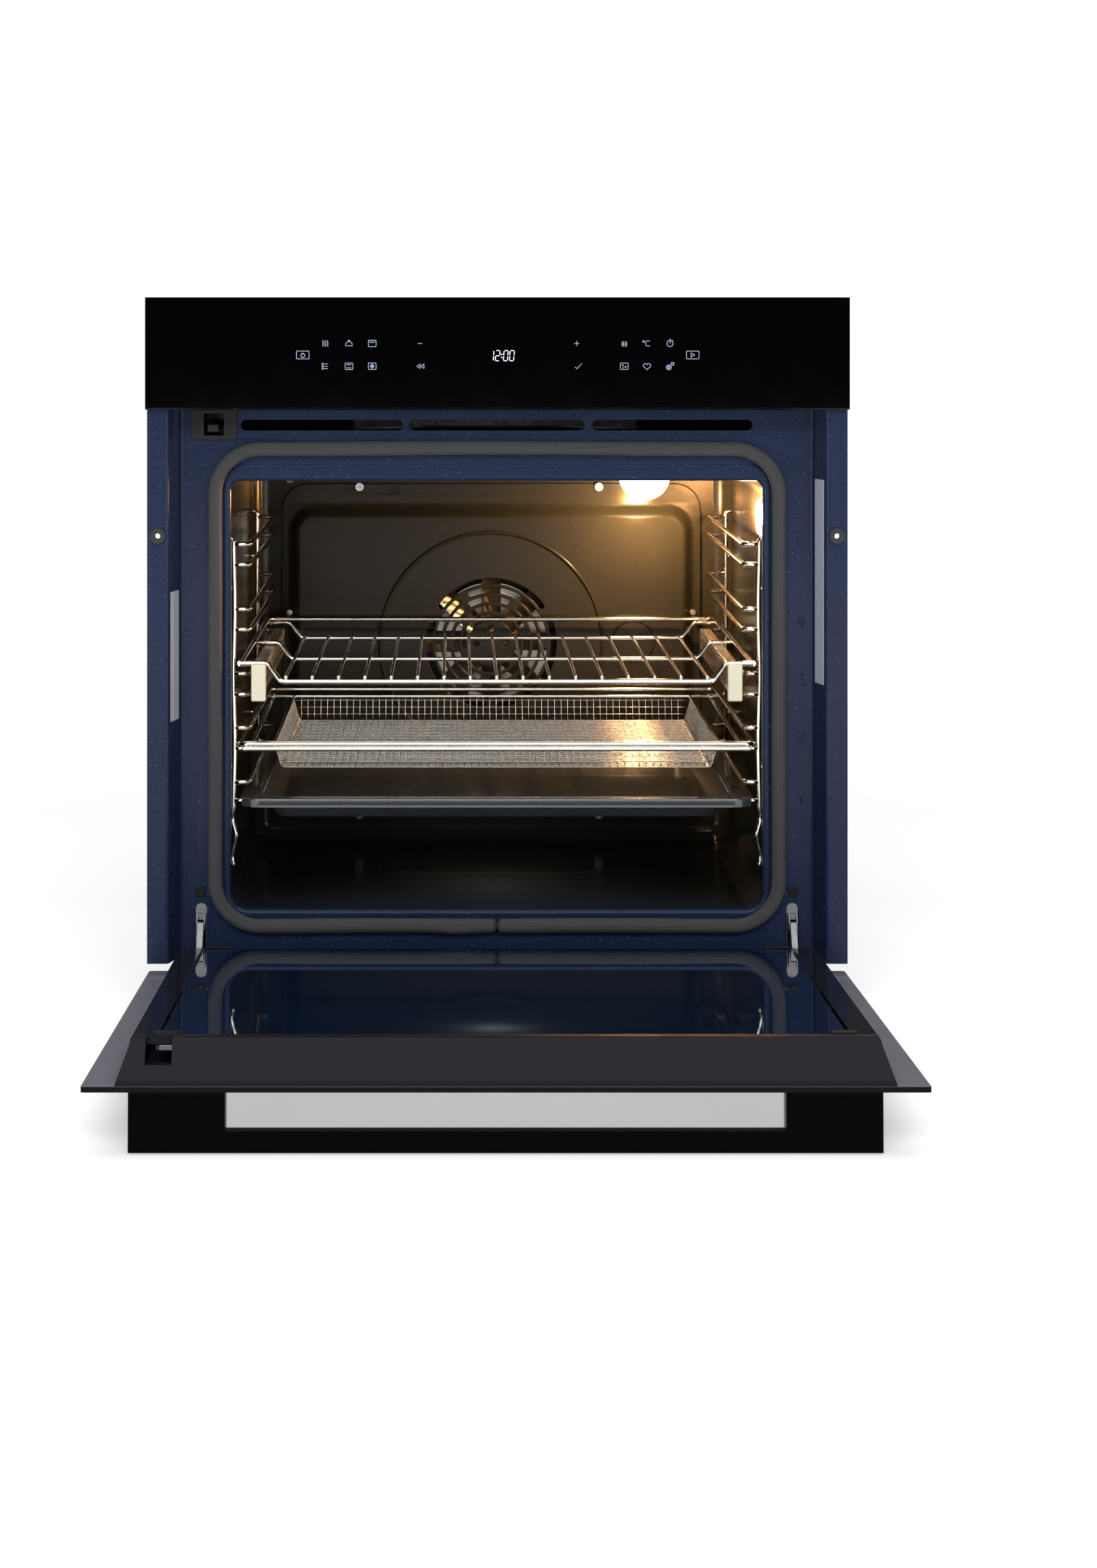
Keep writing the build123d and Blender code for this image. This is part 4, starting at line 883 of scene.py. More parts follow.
LEVEL_DIGITS = ((1, 166.0), (2, 219.0), (3, 268.5), (4, 318.0), (5, 386.0))
LEVEL_X = 260.6
DIGIT_LINES = {
    1: ((-0.5, 0.6), (0.1, 1), (0.1, -1)),
    2: ((-0.6, 0.55), (-0.3, 0.95), (0.35, 0.95), (0.6, 0.5), (0.3, 0.0), (-0.6, -1), (0.65, -1)),
    3: ((-0.6, 0.95), (0.55, 0.95), (0, 0.15), (0.5, 0.05), (0.6, -0.6), (0.1, -1), (-0.6, -0.8)),
    4: ((0.3, -1), (0.3, 1), (-0.65, -0.3), (0.65, -0.3)),
    5: (
        (0.55, 0.95),
        (-0.45, 0.95),
        (-0.5, 0.1),
        (0.2, 0.2),
        (0.6, -0.3),
        (0.2, -0.95),
        (-0.6, -0.85),
    ),
}
DIGIT_HALF, DIGIT_WIRE, DIGIT_RISE, DIGIT_BEND = 5.2, 1.3, 0.35, 0.9


def level_digits():
    """The shelf levels pressed into the right of the front: the crest of a round line that lies
    mostly behind the plate."""
    surface = Surface()
    for digit, level in LEVEL_DIGITS:
        flat = np.array(DIGIT_LINES[digit], float) * DIGIT_HALF + (LEVEL_X, level)
        path = upright(flat, RECESS + DIGIT_WIRE - DIGIT_RISE)
        tube(surface, bent(path, DIGIT_BEND, 4), DIGIT_WIRE, (0, 1, 0), 16)
    thing = surface.piece("level_digits", smooth=80)
    finish(thing, NAVY)
    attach(thing, "oven_body")
    return thing


# ---------------------------------------------------------------- the gasket


GASKET_CORNER = 39.0
GASKET_STEP = 2.0
GASKET_GAP = 0.05
HALF_JOINT = 0.35
PRESSED_DEPTH = 29.75


def gasket():
    """The braided tube round the mouth: a circle carried round a rectangle with round corners,
    always touching the plate behind it. Its radius swells by two slow sine waves. Its two ends
    are butted and pinched at the middle of the lower side, with a fuller stretch beside the joint
    that rises and falls as a bell curve. Where it would stand past the closed door's inner glass
    it's pressed flat."""
    low, high = reach("door_gasket")
    radius = (high[1] - low[1]) / 2
    half = high[0] - radius
    bottom, top = low[2] + radius, high[2] - radius
    route = [(HALF_JOINT, 0, bottom), (half, 0, bottom), (half, 0, top)]
    route += [(-half, 0, top), (-half, 0, bottom), (-HALF_JOINT, 0, bottom)]
    path = divided(bent(route, GASKET_CORNER, 24), GASKET_STEP)
    runs = np.linalg.norm(np.diff(path, axis=0), axis=1)
    along = np.concatenate([[0], np.cumsum(runs)])
    length = along[-1]
    swell = 0.018 * np.sin(along / 47.0) + 0.014 * np.sin(along / 19.0 + 1.0)
    fuller = 0.09 * np.exp(-(((length - 34.0 - along) / 17.0) ** 2))
    end = np.minimum(along, length - along)
    pinch = -0.12 * np.exp(-((end / 2.5) ** 2))
    radii = radius * (1 + swell + fuller + pinch)
    path[:, 1] = FRONT + RECESS - GASKET_GAP - radii
    path[:, 2] += 0.5 * np.sin(along / 61.0) - 6.0 * fuller
    surface = Surface()
    tube(surface, path, radii, (0, 1, 0), sides=28, size=(length * MM, 1))
    for points in surface.points:
        points[:, 1] = np.maximum(points[:, 1], FRONT + PRESSED_DEPTH)
    return stands_for(surface.piece("braided_gasket", smooth=80), "door_gasket")


# ---------------------------------------------------------------- cavity


FACE, FLANGE = 461.0, 469.0
RAISED = (-193.5, 193.5, 92.0, 384.0, 18.0)
COVER_CORNER = 26.0
SHOULDER = 9.0
FAN_Z = 255.0
BEAD = (108.0, 112.5, 1.5)
SMALL_BEAD = (19.0, 21.5, 1.1)
SMALL_BEAD_AT = (141.0, 258.0)
GRILLE_RINGS = (
    (62.0, 3, 30.0),
    (53.0, 3, 0.0),
    (44.0, 3, 60.0),
    (35.0, 3, 20.0),
    (26.0, 3, 80.0),
)
SLOT_WIDTH, SLOT_ROLL, RIB_ARC = 5.4, 1.0, 9.0
HUB_HOLES, HUB_ROLL = (15.0, 3.2), 0.6
COVER_SCREW_RADIUS = 1.9
COVER_NOTCH = (-114.0, -91.0, 402.5)
COVER_SHEET, COVER_ROLL, COVER_LEAD = 0.8, 1.2, 4.0
COVER_SCREWS = ((-131.0, 410.0), (107.0, 410.0), (-131.0, 84.0), (107.0, 84.0))
COVER_STUDS = ((-200.0, 286.0), (200.0, 286.0))


def arc_slot(radius, start, sweep, grow=0.0):
    """A slot's outline round an arc about the fan's axis: an outer arc, a half circle, an inner
    arc and another half circle, in degrees."""
    half = SLOT_WIDTH / 2 + grow
    there = np.radians(np.linspace(start, start + sweep, 15))
    ends = []
    for angle, turn in ((start + sweep, 0), (start, 180)):
        cap = np.radians(np.linspace(angle + turn, angle + turn + 180, 9))[1:-1]
        middle = radius * np.array([math.cos(math.radians(angle)), math.sin(math.radians(angle))])
        ends.append(middle + half * np.stack([np.cos(cap), np.sin(cap)], 1))
    outer = (radius + half) * np.stack([np.cos(there), np.sin(there)], 1)
    inner = (radius - half) * np.stack([np.cos(there), np.sin(there)], 1)[::-1]
    return np.concatenate([outer, ends[0], inner, ends[1]]) + (0, FAN_Z)


def grille_slots():
    """Each slot of the intake as its arc's radius, first angle and sweep."""
    slots = []
    for radius, count, start in GRILLE_RINGS:
        gap = math.degrees((RIB_ARC + SLOT_WIDTH) / radius)
        for turn in range(count):
            slots.append((radius, start + 360 / count * turn + gap / 2, 360 / count - gap))
    return slots


def bead(sheet, x, z, inner, outer, rise, steps):
    """A half-round bead pressed forward in a face: half a sine wave between two circles."""
    rows = [
        (circle(x, z, inner + (outer - inner) * t, steps), FACE - rise * math.sin(math.pi * t))
        for t in np.linspace(0, 1, 7)
    ]
    sheet.collar(rows)


def fan_cover():
    """The pressed cover: a face with the slotted intake and two beads, a soft shoulder that falls
    back as half a cosine wave, and the flange with its screw holes and turned edge."""
    low, high = reach("fan_cover")
    sheet = Surface()
    inner, outer, rise = BEAD
    slots = grille_slots()
    reach_out, hole = HUB_HOLES
    hub = circle(0, FAN_Z, reach_out, 4)
    holes = [arc_slot(*slot, grow=SLOT_ROLL) for slot in slots]
    holes += [circle(*at, hole + HUB_ROLL, 16) for at in hub]
    sheet.plate(FACE, circle(0, FAN_Z, inner, 120), holes)
    slot_edge = rolled(SLOT_ROLL, FACE, FACE + 2.0, 4)
    for slot in slots:
        sheet.collar([(arc_slot(*slot, grow=grow), depth) for grow, depth in slot_edge])
    hub_edge = rolled(HUB_ROLL, FACE, FACE + 1.4, 3)
    for at in hub:
        sheet.collar([(circle(*at, hole + grow, 16), depth) for grow, depth in hub_edge])
    bead(sheet, 0, FAN_Z, inner, outer, rise, 120)
    small_in, small_out, small_rise = SMALL_BEAD
    bead(sheet, *SMALL_BEAD_AT, small_in, small_out, small_rise, 48)
    sheet.plate(FACE, circle(*SMALL_BEAD_AT, small_in, 48))
    cut = [circle(0, FAN_Z, outer, 120), circle(*SMALL_BEAD_AT, small_out, 48)]
    sheet.plate(FACE, loop(*RAISED, grow=-COVER_LEAD), cut)
    across = np.linspace(0, 1, 11)
    grows = (SHOULDER + COVER_LEAD) * across - COVER_LEAD
    depths = FACE + (FLANGE - FACE) * (1 - np.cos(math.pi * across)) / 2
    sheet.collar([(loop(*RAISED, grow=grow), depth) for grow, depth in zip(grows, depths)])
    edge = (low[0], high[0], low[2], high[2], COVER_CORNER)
    screws = [circle(x, z, COVER_SCREW_RADIUS, 16) for x, z in COVER_SCREWS + COVER_STUDS]
    notch = loop(*COVER_NOTCH, high[2] - 2.2, 3.0, steps=5)
    holes = [loop(*RAISED, grow=SHOULDER), notch] + screws
    sheet.plate(FLANGE, loop(*edge, grow=-COVER_ROLL), holes)
    turned = rolled(COVER_ROLL, FLANGE, FLANGE + 2.0, 4)
    sheet.collar([(loop(*edge, grow=-grow), depth) for grow, depth in turned])
    return stands_for(sheet_metal(sheet, "pressed_fan_cover", COVER_SHEET), "fan_cover")


TRAY_SHEET = 0.8
TRAY_CORNER, TRAY_ROLL = 18.0, 1.5
TRAY_EDGE = 16.0
TRAY_MOUTH_CORNER, TRAY_SHOULDER = 22.0, 4.0
TRAY_BEND, TRAY_FOOT = 2.5, 4.0
TRAY_FRONT_LIP, TRAY_SIDE_LIP = 7.6, 2.4
TRAY_MOUTH_HALF, TRAY_SLOPE = 200.0, 7.0
TRAY_SLOTS = (82.0, 96.0, 110.0)


def plan(outline, z):
    """Points (x, y) of the plan view placed at a height, or at a height for each."""
    return np.stack([outline[:, 0], outline[:, 1], np.broadcast_to(z, len(outline))], 1)


def baking_tray():
    """The tray as one pressed sheet: a flat rim with slots at its sides, an edge rolled down that
    is deepest along the front, and a well whose shoulder and foot are quarter circles."""
    low, high = reach("baking_tray")
    front, back, top, bottom = low[1], high[1], high[2], low[2]
    sheet = Surface()
    edge = (low[0], high[0], front, back, TRAY_CORNER)
    well = (front + TRAY_EDGE, back - TRAY_EDGE, TRAY_MOUTH_CORNER)
    mouth = (-TRAY_MOUTH_HALF, TRAY_MOUTH_HALF, *well)
    outer = loop(*edge, grow=-TRAY_ROLL)
    holes = [loop(*mouth, grow=TRAY_SHOULDER)]
    middle = (TRAY_MOUTH_HALF + high[0]) / 2
    for side in (-1, 1):
        for depth in TRAY_SLOTS:
            x, y = side * middle, front - 50 + depth
            holes.append(loop(x - 4, x + 4, y, y + 7, 1.5, steps=4))
    sheet.filled(lambda flat: plan(flat, top), outer, holes)
    outline = loop(*edge)
    ahead = np.clip((front + 34 - outline[:, 1]) / 30, 0, 1)
    drop = TRAY_SIDE_LIP + (TRAY_FRONT_LIP - TRAY_SIDE_LIP) * ahead**2 * (3 - 2 * ahead)
    rows = [plan(loop(*edge, grow=-grow), top - z) for grow, z in rolled(TRAY_ROLL, 0, 0)[:-1]]
    sheet.grid(np.stack(rows + [plan(outline, top - drop)]), across=True)
    over, under = np.linspace(0, 1.2, 6), np.linspace(0.3, math.pi / 2, 6)
    fall_grow = TRAY_SHOULDER - TRAY_BEND * np.sin(over)
    fall_z = top - TRAY_BEND * (1 - np.cos(over))
    foot_grow = -TRAY_SLOPE - TRAY_FOOT * (1 - np.cos(under))
    foot_z = bottom + TRAY_FOOT * (1 - np.sin(under))
    wall = [*zip(fall_grow, fall_z), *zip(foot_grow, foot_z)]
    sheet.grid(np.stack([plan(loop(*mouth, grow=grow), z) for grow, z in wall]), across=True)
    floor = loop(*mouth, grow=foot_grow[-1])
    sheet.filled(lambda flat: plan(flat, bottom), floor)
    tray = sheet_metal(sheet, "enamelled_tray", TRAY_SHEET, forward=(0, 0, 1))
    return stands_for(tray, "baking_tray")


# ---------------------------------------------------------------- basket and shelf


MESH_PITCH = 6.3
MESH_WIRE = 0.38
MESH_BEND = 3.0
MESH_LEAN = 6.0
MESH_LOOPS = 3


def woven(path, reference, phase):
    """A wire's path given its weave: every other half pitch it lies above or below its middle
    line."""
    path = divided(path, MESH_PITCH / 2)
    along = np.gradient(path, axis=0)
    normal = np.cross(along, np.asarray(reference, float))
    normal /= np.linalg.norm(normal, axis=1)[:, None]
    lift = 0.35 * MESH_WIRE * np.where((np.arange(len(path)) + phase) % 2, 1.0, -1.0)
    return path + lift[:, None] * normal


def basket_mesh():
    """The basket's woven wires: up one wall, over the floor and down the other in both
    directions, and loops round the walls."""
    low, high = reach("mesh_basket")
    rim, floor = high[2] + 1.0, low[2] + MESH_WIRE + 0.4
    surface = Surface()
    x_top, y_low, y_high = high[0], low[1] + MESH_LEAN, high[1]
    x_floor, y_first, y_last = x_top - MESH_LEAN, y_low + 2.0, y_high - MESH_LEAN
    for k, x in enumerate(np.arange(-x_floor + 1, x_floor, MESH_PITCH)):
        route = [(x, y_low, rim), (x, y_first, floor), (x, y_last, floor), (x, y_high, rim)]
        path = woven(bent(route, MESH_BEND, 3), (1, 0, 0), k)
        tube(surface, path, MESH_WIRE, (1, 0, 0), sides=5)
    for k, y in enumerate(np.arange(y_first + 1, y_last, MESH_PITCH)):
        route = [(-x_top, y, rim), (-x_floor, y, floor), (x_floor, y, floor), (x_top, y, rim)]
        path = woven(bent(route, MESH_BEND, 3), (0, 1, 0), k + 1)
        tube(surface, path, MESH_WIRE, (0, 1, 0), sides=5)
    for k in range(MESH_LOOPS):
        t = (k + 0.8) / MESH_LOOPS
        z = floor + (rim - floor) * t * 0.92
        front, back = y_first + (y_low - y_first) * t, y_last + (y_high - y_last) * t
        half = x_floor + (x_top - x_floor) * t
        outline = loop(-half, half, front, back, 6.0, steps=4)
        path = divided(plan(outline, z), MESH_PITCH, close=True)
        tube(surface, path, MESH_WIRE, (0, 0, 1), sides=5, close=True)
    return stands_for(surface.piece("woven_basket_mesh", smooth=80), "mesh_basket")


RAIL_LEVELS = (382.0, 364.5, 326.0, 308.5, 270.5, 252.5, 223.7, 206.0, 176.8, 161.0)
RAIL_X, RAIL_RADIUS = 213.5, 2.2
RACK_DEPTHS = (62.0, 440.0)
UPRIGHTS = (227.0, 231.0)
UPRIGHT_RADIUS = 2.5
UPRIGHT_TOP, UPRIGHT_TAIL, UPRIGHT_END, REAR_END = 388.0, 156.0, 104.0, 152.0
TAIL_WAVE, TAIL_SWAY = 34.0, 1.7
FOOT_LEVELS, FOOT_RADII = (344.0, 190.0), (1.8, 1.8, 2.8)


def side_rack(node, side):
    """A rack of bent wire: a front upright whose tail waves as a sine, a rear upright, both
    turned to the wall at the top, ten rails bent inward, and short feet on the wall."""
    wall = reach(node)[1][0] if side > 0 else -reach(node)[0][0]
    front, rear = RACK_DEPTHS
    surface = Surface()

    def wire(path, radius):
        """A wire given on the right side, at depths behind the control glass."""
        placed = np.asarray(path, float) * (side, 1, 1) + (0, FRONT, 0)
        tube(surface, placed, radius, (0.3, 0.8, 0.5), 14)

    x_front, x_rear = UPRIGHTS
    z = np.linspace(UPRIGHT_TOP - 8, UPRIGHT_END, 90)
    tail = np.clip((UPRIGHT_TAIL - z) / 12, 0, 1)
    wave = TAIL_SWAY * np.sin((UPRIGHT_TAIL - z) / TAIL_WAVE * CIRCLE)
    sway = 0.5 * np.sin(z / 19.0) * (1 - tail) + wave * tail
    drop = np.stack([x_front + sway, np.full(len(z), front), z], 1)
    route = [(wall - 0.5, front, UPRIGHT_TOP), (x_front, front, UPRIGHT_TOP), tuple(drop[0])]
    wire(np.vstack([bent(route, 5.0)[:-1], drop]), UPRIGHT_RADIUS)
    route = [(wall - 0.5, rear, UPRIGHT_TOP), (x_rear, rear, UPRIGHT_TOP)]
    route.append((x_rear, rear, REAR_END))
    wire(bent(route, 4.0), UPRIGHT_RADIUS)
    for level in RAIL_LEVELS:
        route = [(x_front, front, level), (RAIL_X, front, level)]
        route += [(RAIL_X, rear, level), (x_rear, rear, level)]
        wire(bent(route, 6.0), RAIL_RADIUS)
    for x, depth in zip(UPRIGHTS, RACK_DEPTHS):
        for level in FOOT_LEVELS:
            wire([(end, depth, level) for end in (x, wall - 1.0, wall)], FOOT_RADII)
    return stands_for(surface.piece(node + "_wire", smooth=60), node)


SHELF_TIP, SHELF_WIRES = 1.9, 17


def shelf_tips():
    """A bright weld on the end of each shelf wire, as a flattened ball: rings of a circle whose
    radius and place follow a half circle."""
    low, high = reach("shelf_wires")
    height = (low[2] + high[2]) / 2 - 0.2
    turn = np.linspace(0, math.pi, 7)[:, None]
    about = (np.arange(10) / 10 * CIRCLE)[None, :]
    surface = Surface()
    span = high[0] - low[0] - (high[2] - low[2])
    for share in np.arange(SHELF_WIRES) / (SHELF_WIRES - 1) - 0.5:
        x = share * span + SHELF_TIP * np.sin(turn) * np.cos(about)
        y = low[1] + 0.6 + 1.2 * np.cos(turn) + 0 * about
        z = height + 0.9 * SHELF_TIP * np.sin(turn) * np.sin(about)
        surface.grid(np.stack([x, y, z], 2), across=True)
    thing = surface.piece("shelf_wire_welds", merge=0.001, smooth=80)
    finish(thing, CHROME)
    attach(thing, "shelf_on_runners")
    return thing


# ---------------------------------------------------------------- the door's trim


PIVOT_DEPTH, PIVOT_Z, DOOR_OPEN = 14.0, 30.0, 87.5
TAB = (230.0, 248.7, 468.0, 477.0, 1.2)
TAB_DEPTHS = (34.0, 38.4)


def opened(points):
    """Points of the closed door turned about the hinge's axis to the open door."""
    turn = math.radians(DOOR_OPEN)
    y, z = points[:, 1] - FRONT - PIVOT_DEPTH, points[:, 2] - PIVOT_Z
    turned_y = y * math.cos(turn) - z * math.sin(turn)
    turned_z = y * math.sin(turn) + z * math.cos(turn)
    return np.stack([points[:, 0], turned_y + FRONT + PIVOT_DEPTH, turned_z + PIVOT_Z], 1)


def trim_tabs():
    """The low lugs at the trim's two ends: an outline carried through their depth, its edges
    rounded by quarter circles and closed by a plate at each end."""
    surface = Surface()
    near, far = TAB_DEPTHS
    turn = np.linspace(0, math.pi / 2, 5)
    rows = [(-1 + math.sin(t), near + 1 - math.cos(t)) for t in turn]
    rows += [(-1 + math.cos(t), far - 1 + math.sin(t)) for t in turn]
    for side in (-1, 1):
        x0, x1 = sorted((side * TAB[0], side * TAB[1]))
        outline = (x0, x1, *TAB[2:])
        surface.collar([(loop(*outline, grow=grow), depth) for grow, depth in rows])
        surface.plate(near, loop(*outline, grow=-1))
        surface.plate(far, loop(*outline, grow=-1))
    surface.points = [opened(points) for points in surface.points]
    thing = surface.piece("trim_tabs", merge=0.002, smooth=40)
    finish(thing, FINISHES["door_top_trim"])
    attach(thing, "door")
    return thing


# ---------------------------------------------------------------- the touch panel


LINE = 0.34
PRINT = 0.05
ROW_HIGH, ROW_LOW, ROW_MIDDLE = 556.0, 536.8, 546.3


def arc(x, z, radius, start=0.0, sweep=360.0, steps=24):
    """Points on a circle's arc in the front view, in degrees."""
    turn = np.radians(np.linspace(start, start + sweep, steps + 1))
    return np.stack([x + radius * np.cos(turn), z + radius * np.sin(turn)], 1)


def stroke(surface, points, width=LINE, close=False):
    """A flat line of a width through points in the front view, mitred at its corners: each point
    moves to both sides along the mean normal of its two runs, further where they turn more."""
    points = np.asarray(points, float)
    before = points - np.roll(points, 1, 0)
    after = np.roll(points, -1, 0) - points
    if not close:
        before[0], after[-1] = after[0], before[-1]
    before /= np.linalg.norm(before, axis=1)[:, None]
    after /= np.linalg.norm(after, axis=1)[:, None]
    along = before + after
    along /= np.maximum(np.linalg.norm(along, axis=1), 1e-6)[:, None]
    normal = np.stack([-along[:, 1], along[:, 0]], 1)
    stretch = 1 / np.maximum(np.abs((along * after).sum(1)), 0.5)
    side = normal * (width / 2 * stretch)[:, None]
    edges = [upright(points + side, -PRINT), upright(points - side, -PRINT)]
    surface.grid(np.stack(edges), across=close)


def frame_box(half_x, half_z, radius=0.7):
    """A rectangle's outline about the origin."""
    return loop(-half_x, half_x, -half_z, half_z, radius, steps=3)


def heart():
    """A heart's outline: x = 16 sin cubed, z = 13 cos - 5 cos 2t - 2 cos 3t - cos 4t, scaled
    down."""
    t = np.arange(40) / 40 * CIRCLE
    z = 13 * np.cos(t) - 5 * np.cos(2 * t) - 2 * np.cos(3 * t) - np.cos(4 * t)
    return np.stack([16 * np.sin(t) ** 3, z], 1) * 0.19


def cog(x, z, radius, teeth):
    """A cog's outline: a circle whose radius steps in and out with each tooth."""
    turn = np.arange(teeth * 4) / (teeth * 4) * CIRCLE
    reach_out = radius * np.where(np.arange(teeth * 4) % 4 < 2, 1.0, 0.76)
    return np.stack([x + reach_out * np.cos(turn), z + reach_out * np.sin(turn)], 1)


def panel_symbols():
    """The printed symbols, each as closed and open lines about its own middle, in millimetres."""
    box = frame_box(3.3, 2.7)
    key = frame_box(5.3, 3.3)
    wave = np.linspace(-2.6, 2.6, 14)
    steam = [np.stack([x + 0.5 * np.sin(wave * 2.4), wave], 1) for x in (-1.9, 0.0, 1.9)]
    dome = arc(0, -1.2, 2.8, 0, 180, 16)
    zigzag = [(-2.2, 1.6), (-1.1, 0.6), (0, 1.6), (1.1, 0.6), (2.2, 1.6)]
    petals = [circle(*middle, 0.62, 10) for middle in circle(0, 0, 1.1, 4)]
    arrow = np.array([(-2.7, 0), (0, 1.9), (0, -1.9)])
    stars = ((-1.2, 0.8, 0.8), (1.2, -0.5, 0.9), (-0.8, -1.4, 0.5))
    spark = [[(x - r, z), (x + r, z)] for x, z, r in stars]
    spark += [[(x, z - r), (x, z + r)] for x, z, r in stars]
    drops = [arc(x, z, 0.85, 200, 320, 12) for x in (-1.3, 1.3) for z in (-1.5, 0.6)]
    rows = [[(-0.9, z), (2.2, z)] for z in (-2.0, 0.0, 2.0)]
    squares = [frame_box(0.55, 0.55, 0.1) + (-2.2, z) for z in (-2.0, 0.0, 2.0)]
    watch = [[(-0.8, 3.4), (0.8, 3.4)], [(0, 2.5), (0, 3.4)]]
    watch += [[(0, -0.1), (0, 1.5)], [(2.0, 2.2), (2.6, 2.8)]]
    cogs = [cog(-1.0, -0.9, 2.2, 8), circle(-1.0, -0.9, 0.8, 10), cog(2.2, 2.1, 1.3, 6)]
    return (
        (-164.3, ROW_MIDDLE, [key, arc(0, -0.3, 1.7, 120, 300)[:-1]], [[(0, 0.1), (0, 2.1)]]),
        (-145.3, ROW_HIGH, [], steam),
        (-145.3, ROW_LOW, squares, rows),
        (-125.3, ROW_HIGH, [], [dome, [(-3.3, -1.9), (3.3, -1.9)], arc(0, 2.3, 0.6, 0, 360, 8)]),
        (-125.3, ROW_LOW, [box], [[(-2.1, 1.3), (2.1, 1.3)], [(-2.1, -1.3), (2.1, -1.3)]]),
        (-105.7, ROW_HIGH, [box], [zigzag]),
        (-105.7, ROW_LOW, [box] + petals, []),
        (-65.3, ROW_HIGH, [], [[(-1.9, 0), (1.9, 0)]]),
        (-65.3, ROW_LOW, [arrow, arrow + (3.3, 0)], []),
        (66.9, ROW_HIGH, [], [[(-2.1, 0), (2.1, 0)], [(0, -2.1), (0, 2.1)]]),
        (68.2, ROW_LOW, [], [[(-2.8, -0.6), (-1.1, -2.1), (3.0, 2.3)]]),
        (107.0, ROW_HIGH, [], drops),
        (107.0, ROW_LOW, [box], spark),
        (126.2, ROW_HIGH, [circle(-2.9, 1.7, 0.75, 12)], [arc(1.0, 0, 2.3, 50, 260)]),
        (126.2, ROW_LOW, [heart()], []),
        (145.6, ROW_HIGH, [circle(0, -0.1, 2.6, 24)], watch),
        (145.6, ROW_LOW, cogs, []),
        (164.8, ROW_MIDDLE, [key, np.array([(-1.4, 1.7), (1.7, 0), (-1.4, -1.7)])], []),
    )


def panel_print_painted_glow():
    """All the symbols as one thin print on the glass, in ink that has a painted glow."""
    surface = Surface()
    for x, z, outlines, lines in panel_symbols():
        for points in outlines:
            stroke(surface, np.asarray(points, float) + (x, z), close=True)
        for points in lines:
            stroke(surface, np.asarray(points, float) + (x, z))
    return printed(surface, "panel_symbols", PRINT_INK_PAINTED_GLOW)


SEGMENTS = {
    "top": ((-1, 2), (1, 2)),
    "middle": ((-1, 0), (1, 0)),
    "bottom": ((-1, -2), (1, -2)),
    "upper_left": ((-1, 2), (-1, 0)),
    "upper_right": ((1, 2), (1, 0)),
    "lower_left": ((-1, 0), (-1, -2)),
    "lower_right": ((1, 0), (1, -2)),
}
DIGITS = {
    1: ("upper_right", "lower_right"),
    2: ("top", "upper_right", "middle", "lower_left", "bottom"),
    0: ("top", "bottom", "upper_left", "upper_right", "lower_left", "lower_right"),
}


def clock():
    """The lit clock, four slightly slanted digits of seven segments and a colon."""
    surface = Surface()
    x_middle, half_x, quarter_z, slant = 3.6, 1.75, 2.15, 0.08
    for digit, place in zip((1, 2, 0, 0), (-8.6, -3.4, 3.4, 8.6)):
        for name in DIGITS[digit]:
            run = np.array(SEGMENTS[name], float) * (half_x, quarter_z)
            run = run[0] + (run[1] - run[0]) * np.array([[0.12], [0.88]])
            run[:, 0] += slant * run[:, 1] + place + x_middle
            stroke(surface, run + (0, ROW_MIDDLE - 0.6), width=0.5)
    for z in (-1.3, 1.1):
        dot = np.array([(-0.45, 0), (0.45, 0)]) + (x_middle + slant * z, ROW_MIDDLE - 0.6 + z)
        stroke(surface, dot, width=0.7)
    return printed(surface, "clock_digits", CLOCK_LIGHT)


def printed(surface, name, material):
    """A print on the control glass: its strokes made solid, from just before the glass into
    it."""
    thing = surface.piece(name, smooth=30)
    solid = thing.modifiers.new("thickness", "SOLIDIFY")
    solid.thickness = 2 * PRINT * MM
    solid.offset = -1 if thing.data.polygons[0].normal[1] < 0 else 1
    finish(thing, material)
    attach(thing, "oven_body")
    return thing


# ---------------------------------------------------------------- softened CAD pieces


SOFT_EDGES = {
    "control_glass": 0.35,
    "door_outer_glass": 0.4,
    "door_inner_glass": 0.5,
    "door_top_trim": 0.8,
    "door_handle": 0.7,
    "right_door_rail": 0.4,
    "left_door_rail": 0.4,
    "glass_retainers": 0.4,
    "runner_end_caps": 1.2,
    "runner_slides": 0.35,
    "latch_housing": 0.5,
    "latch_hook": 0.4,
    "hinge_arms": 0.5,
    "hinge_receivers": 0.3,
    "hinge_cases": 0.25,
    "right_lock_lever": 0.25,
    "left_lock_lever": 0.25,
    "frame_screws": 0.4,
    "cavity_fasteners": 0.4,
    "mounting_grommets": 0.5,
    "cavity_liner": 0.8,
    "base_plate": 0.3,
    "right_side_panel": 0.3,
    "left_side_panel": 0.3,
    "top_cover": 0.3,
    "rear_cover": 0.3,
    "terminal_block": 0.4,
    "door_bottom_channel": 0.4,
}

# ---------------------------------------------------------------- camera, light and floor


CAMERA_PLACE = (-34.7, 2620.0, 575.0)
LENS, LENS_SHIFT = 71.31, (0.0588, -0.2953)
FLOOR_HALF = 16000.0
AIR_STRENGTH, WHITE_STRENGTH = 0.035, 1.02
LAMP_COLOUR = (1.0, 0.45, 0.14)
FILL_COLOUR = (0.9, 0.97, 1.0)
LAMP_RADIUS = 0.006


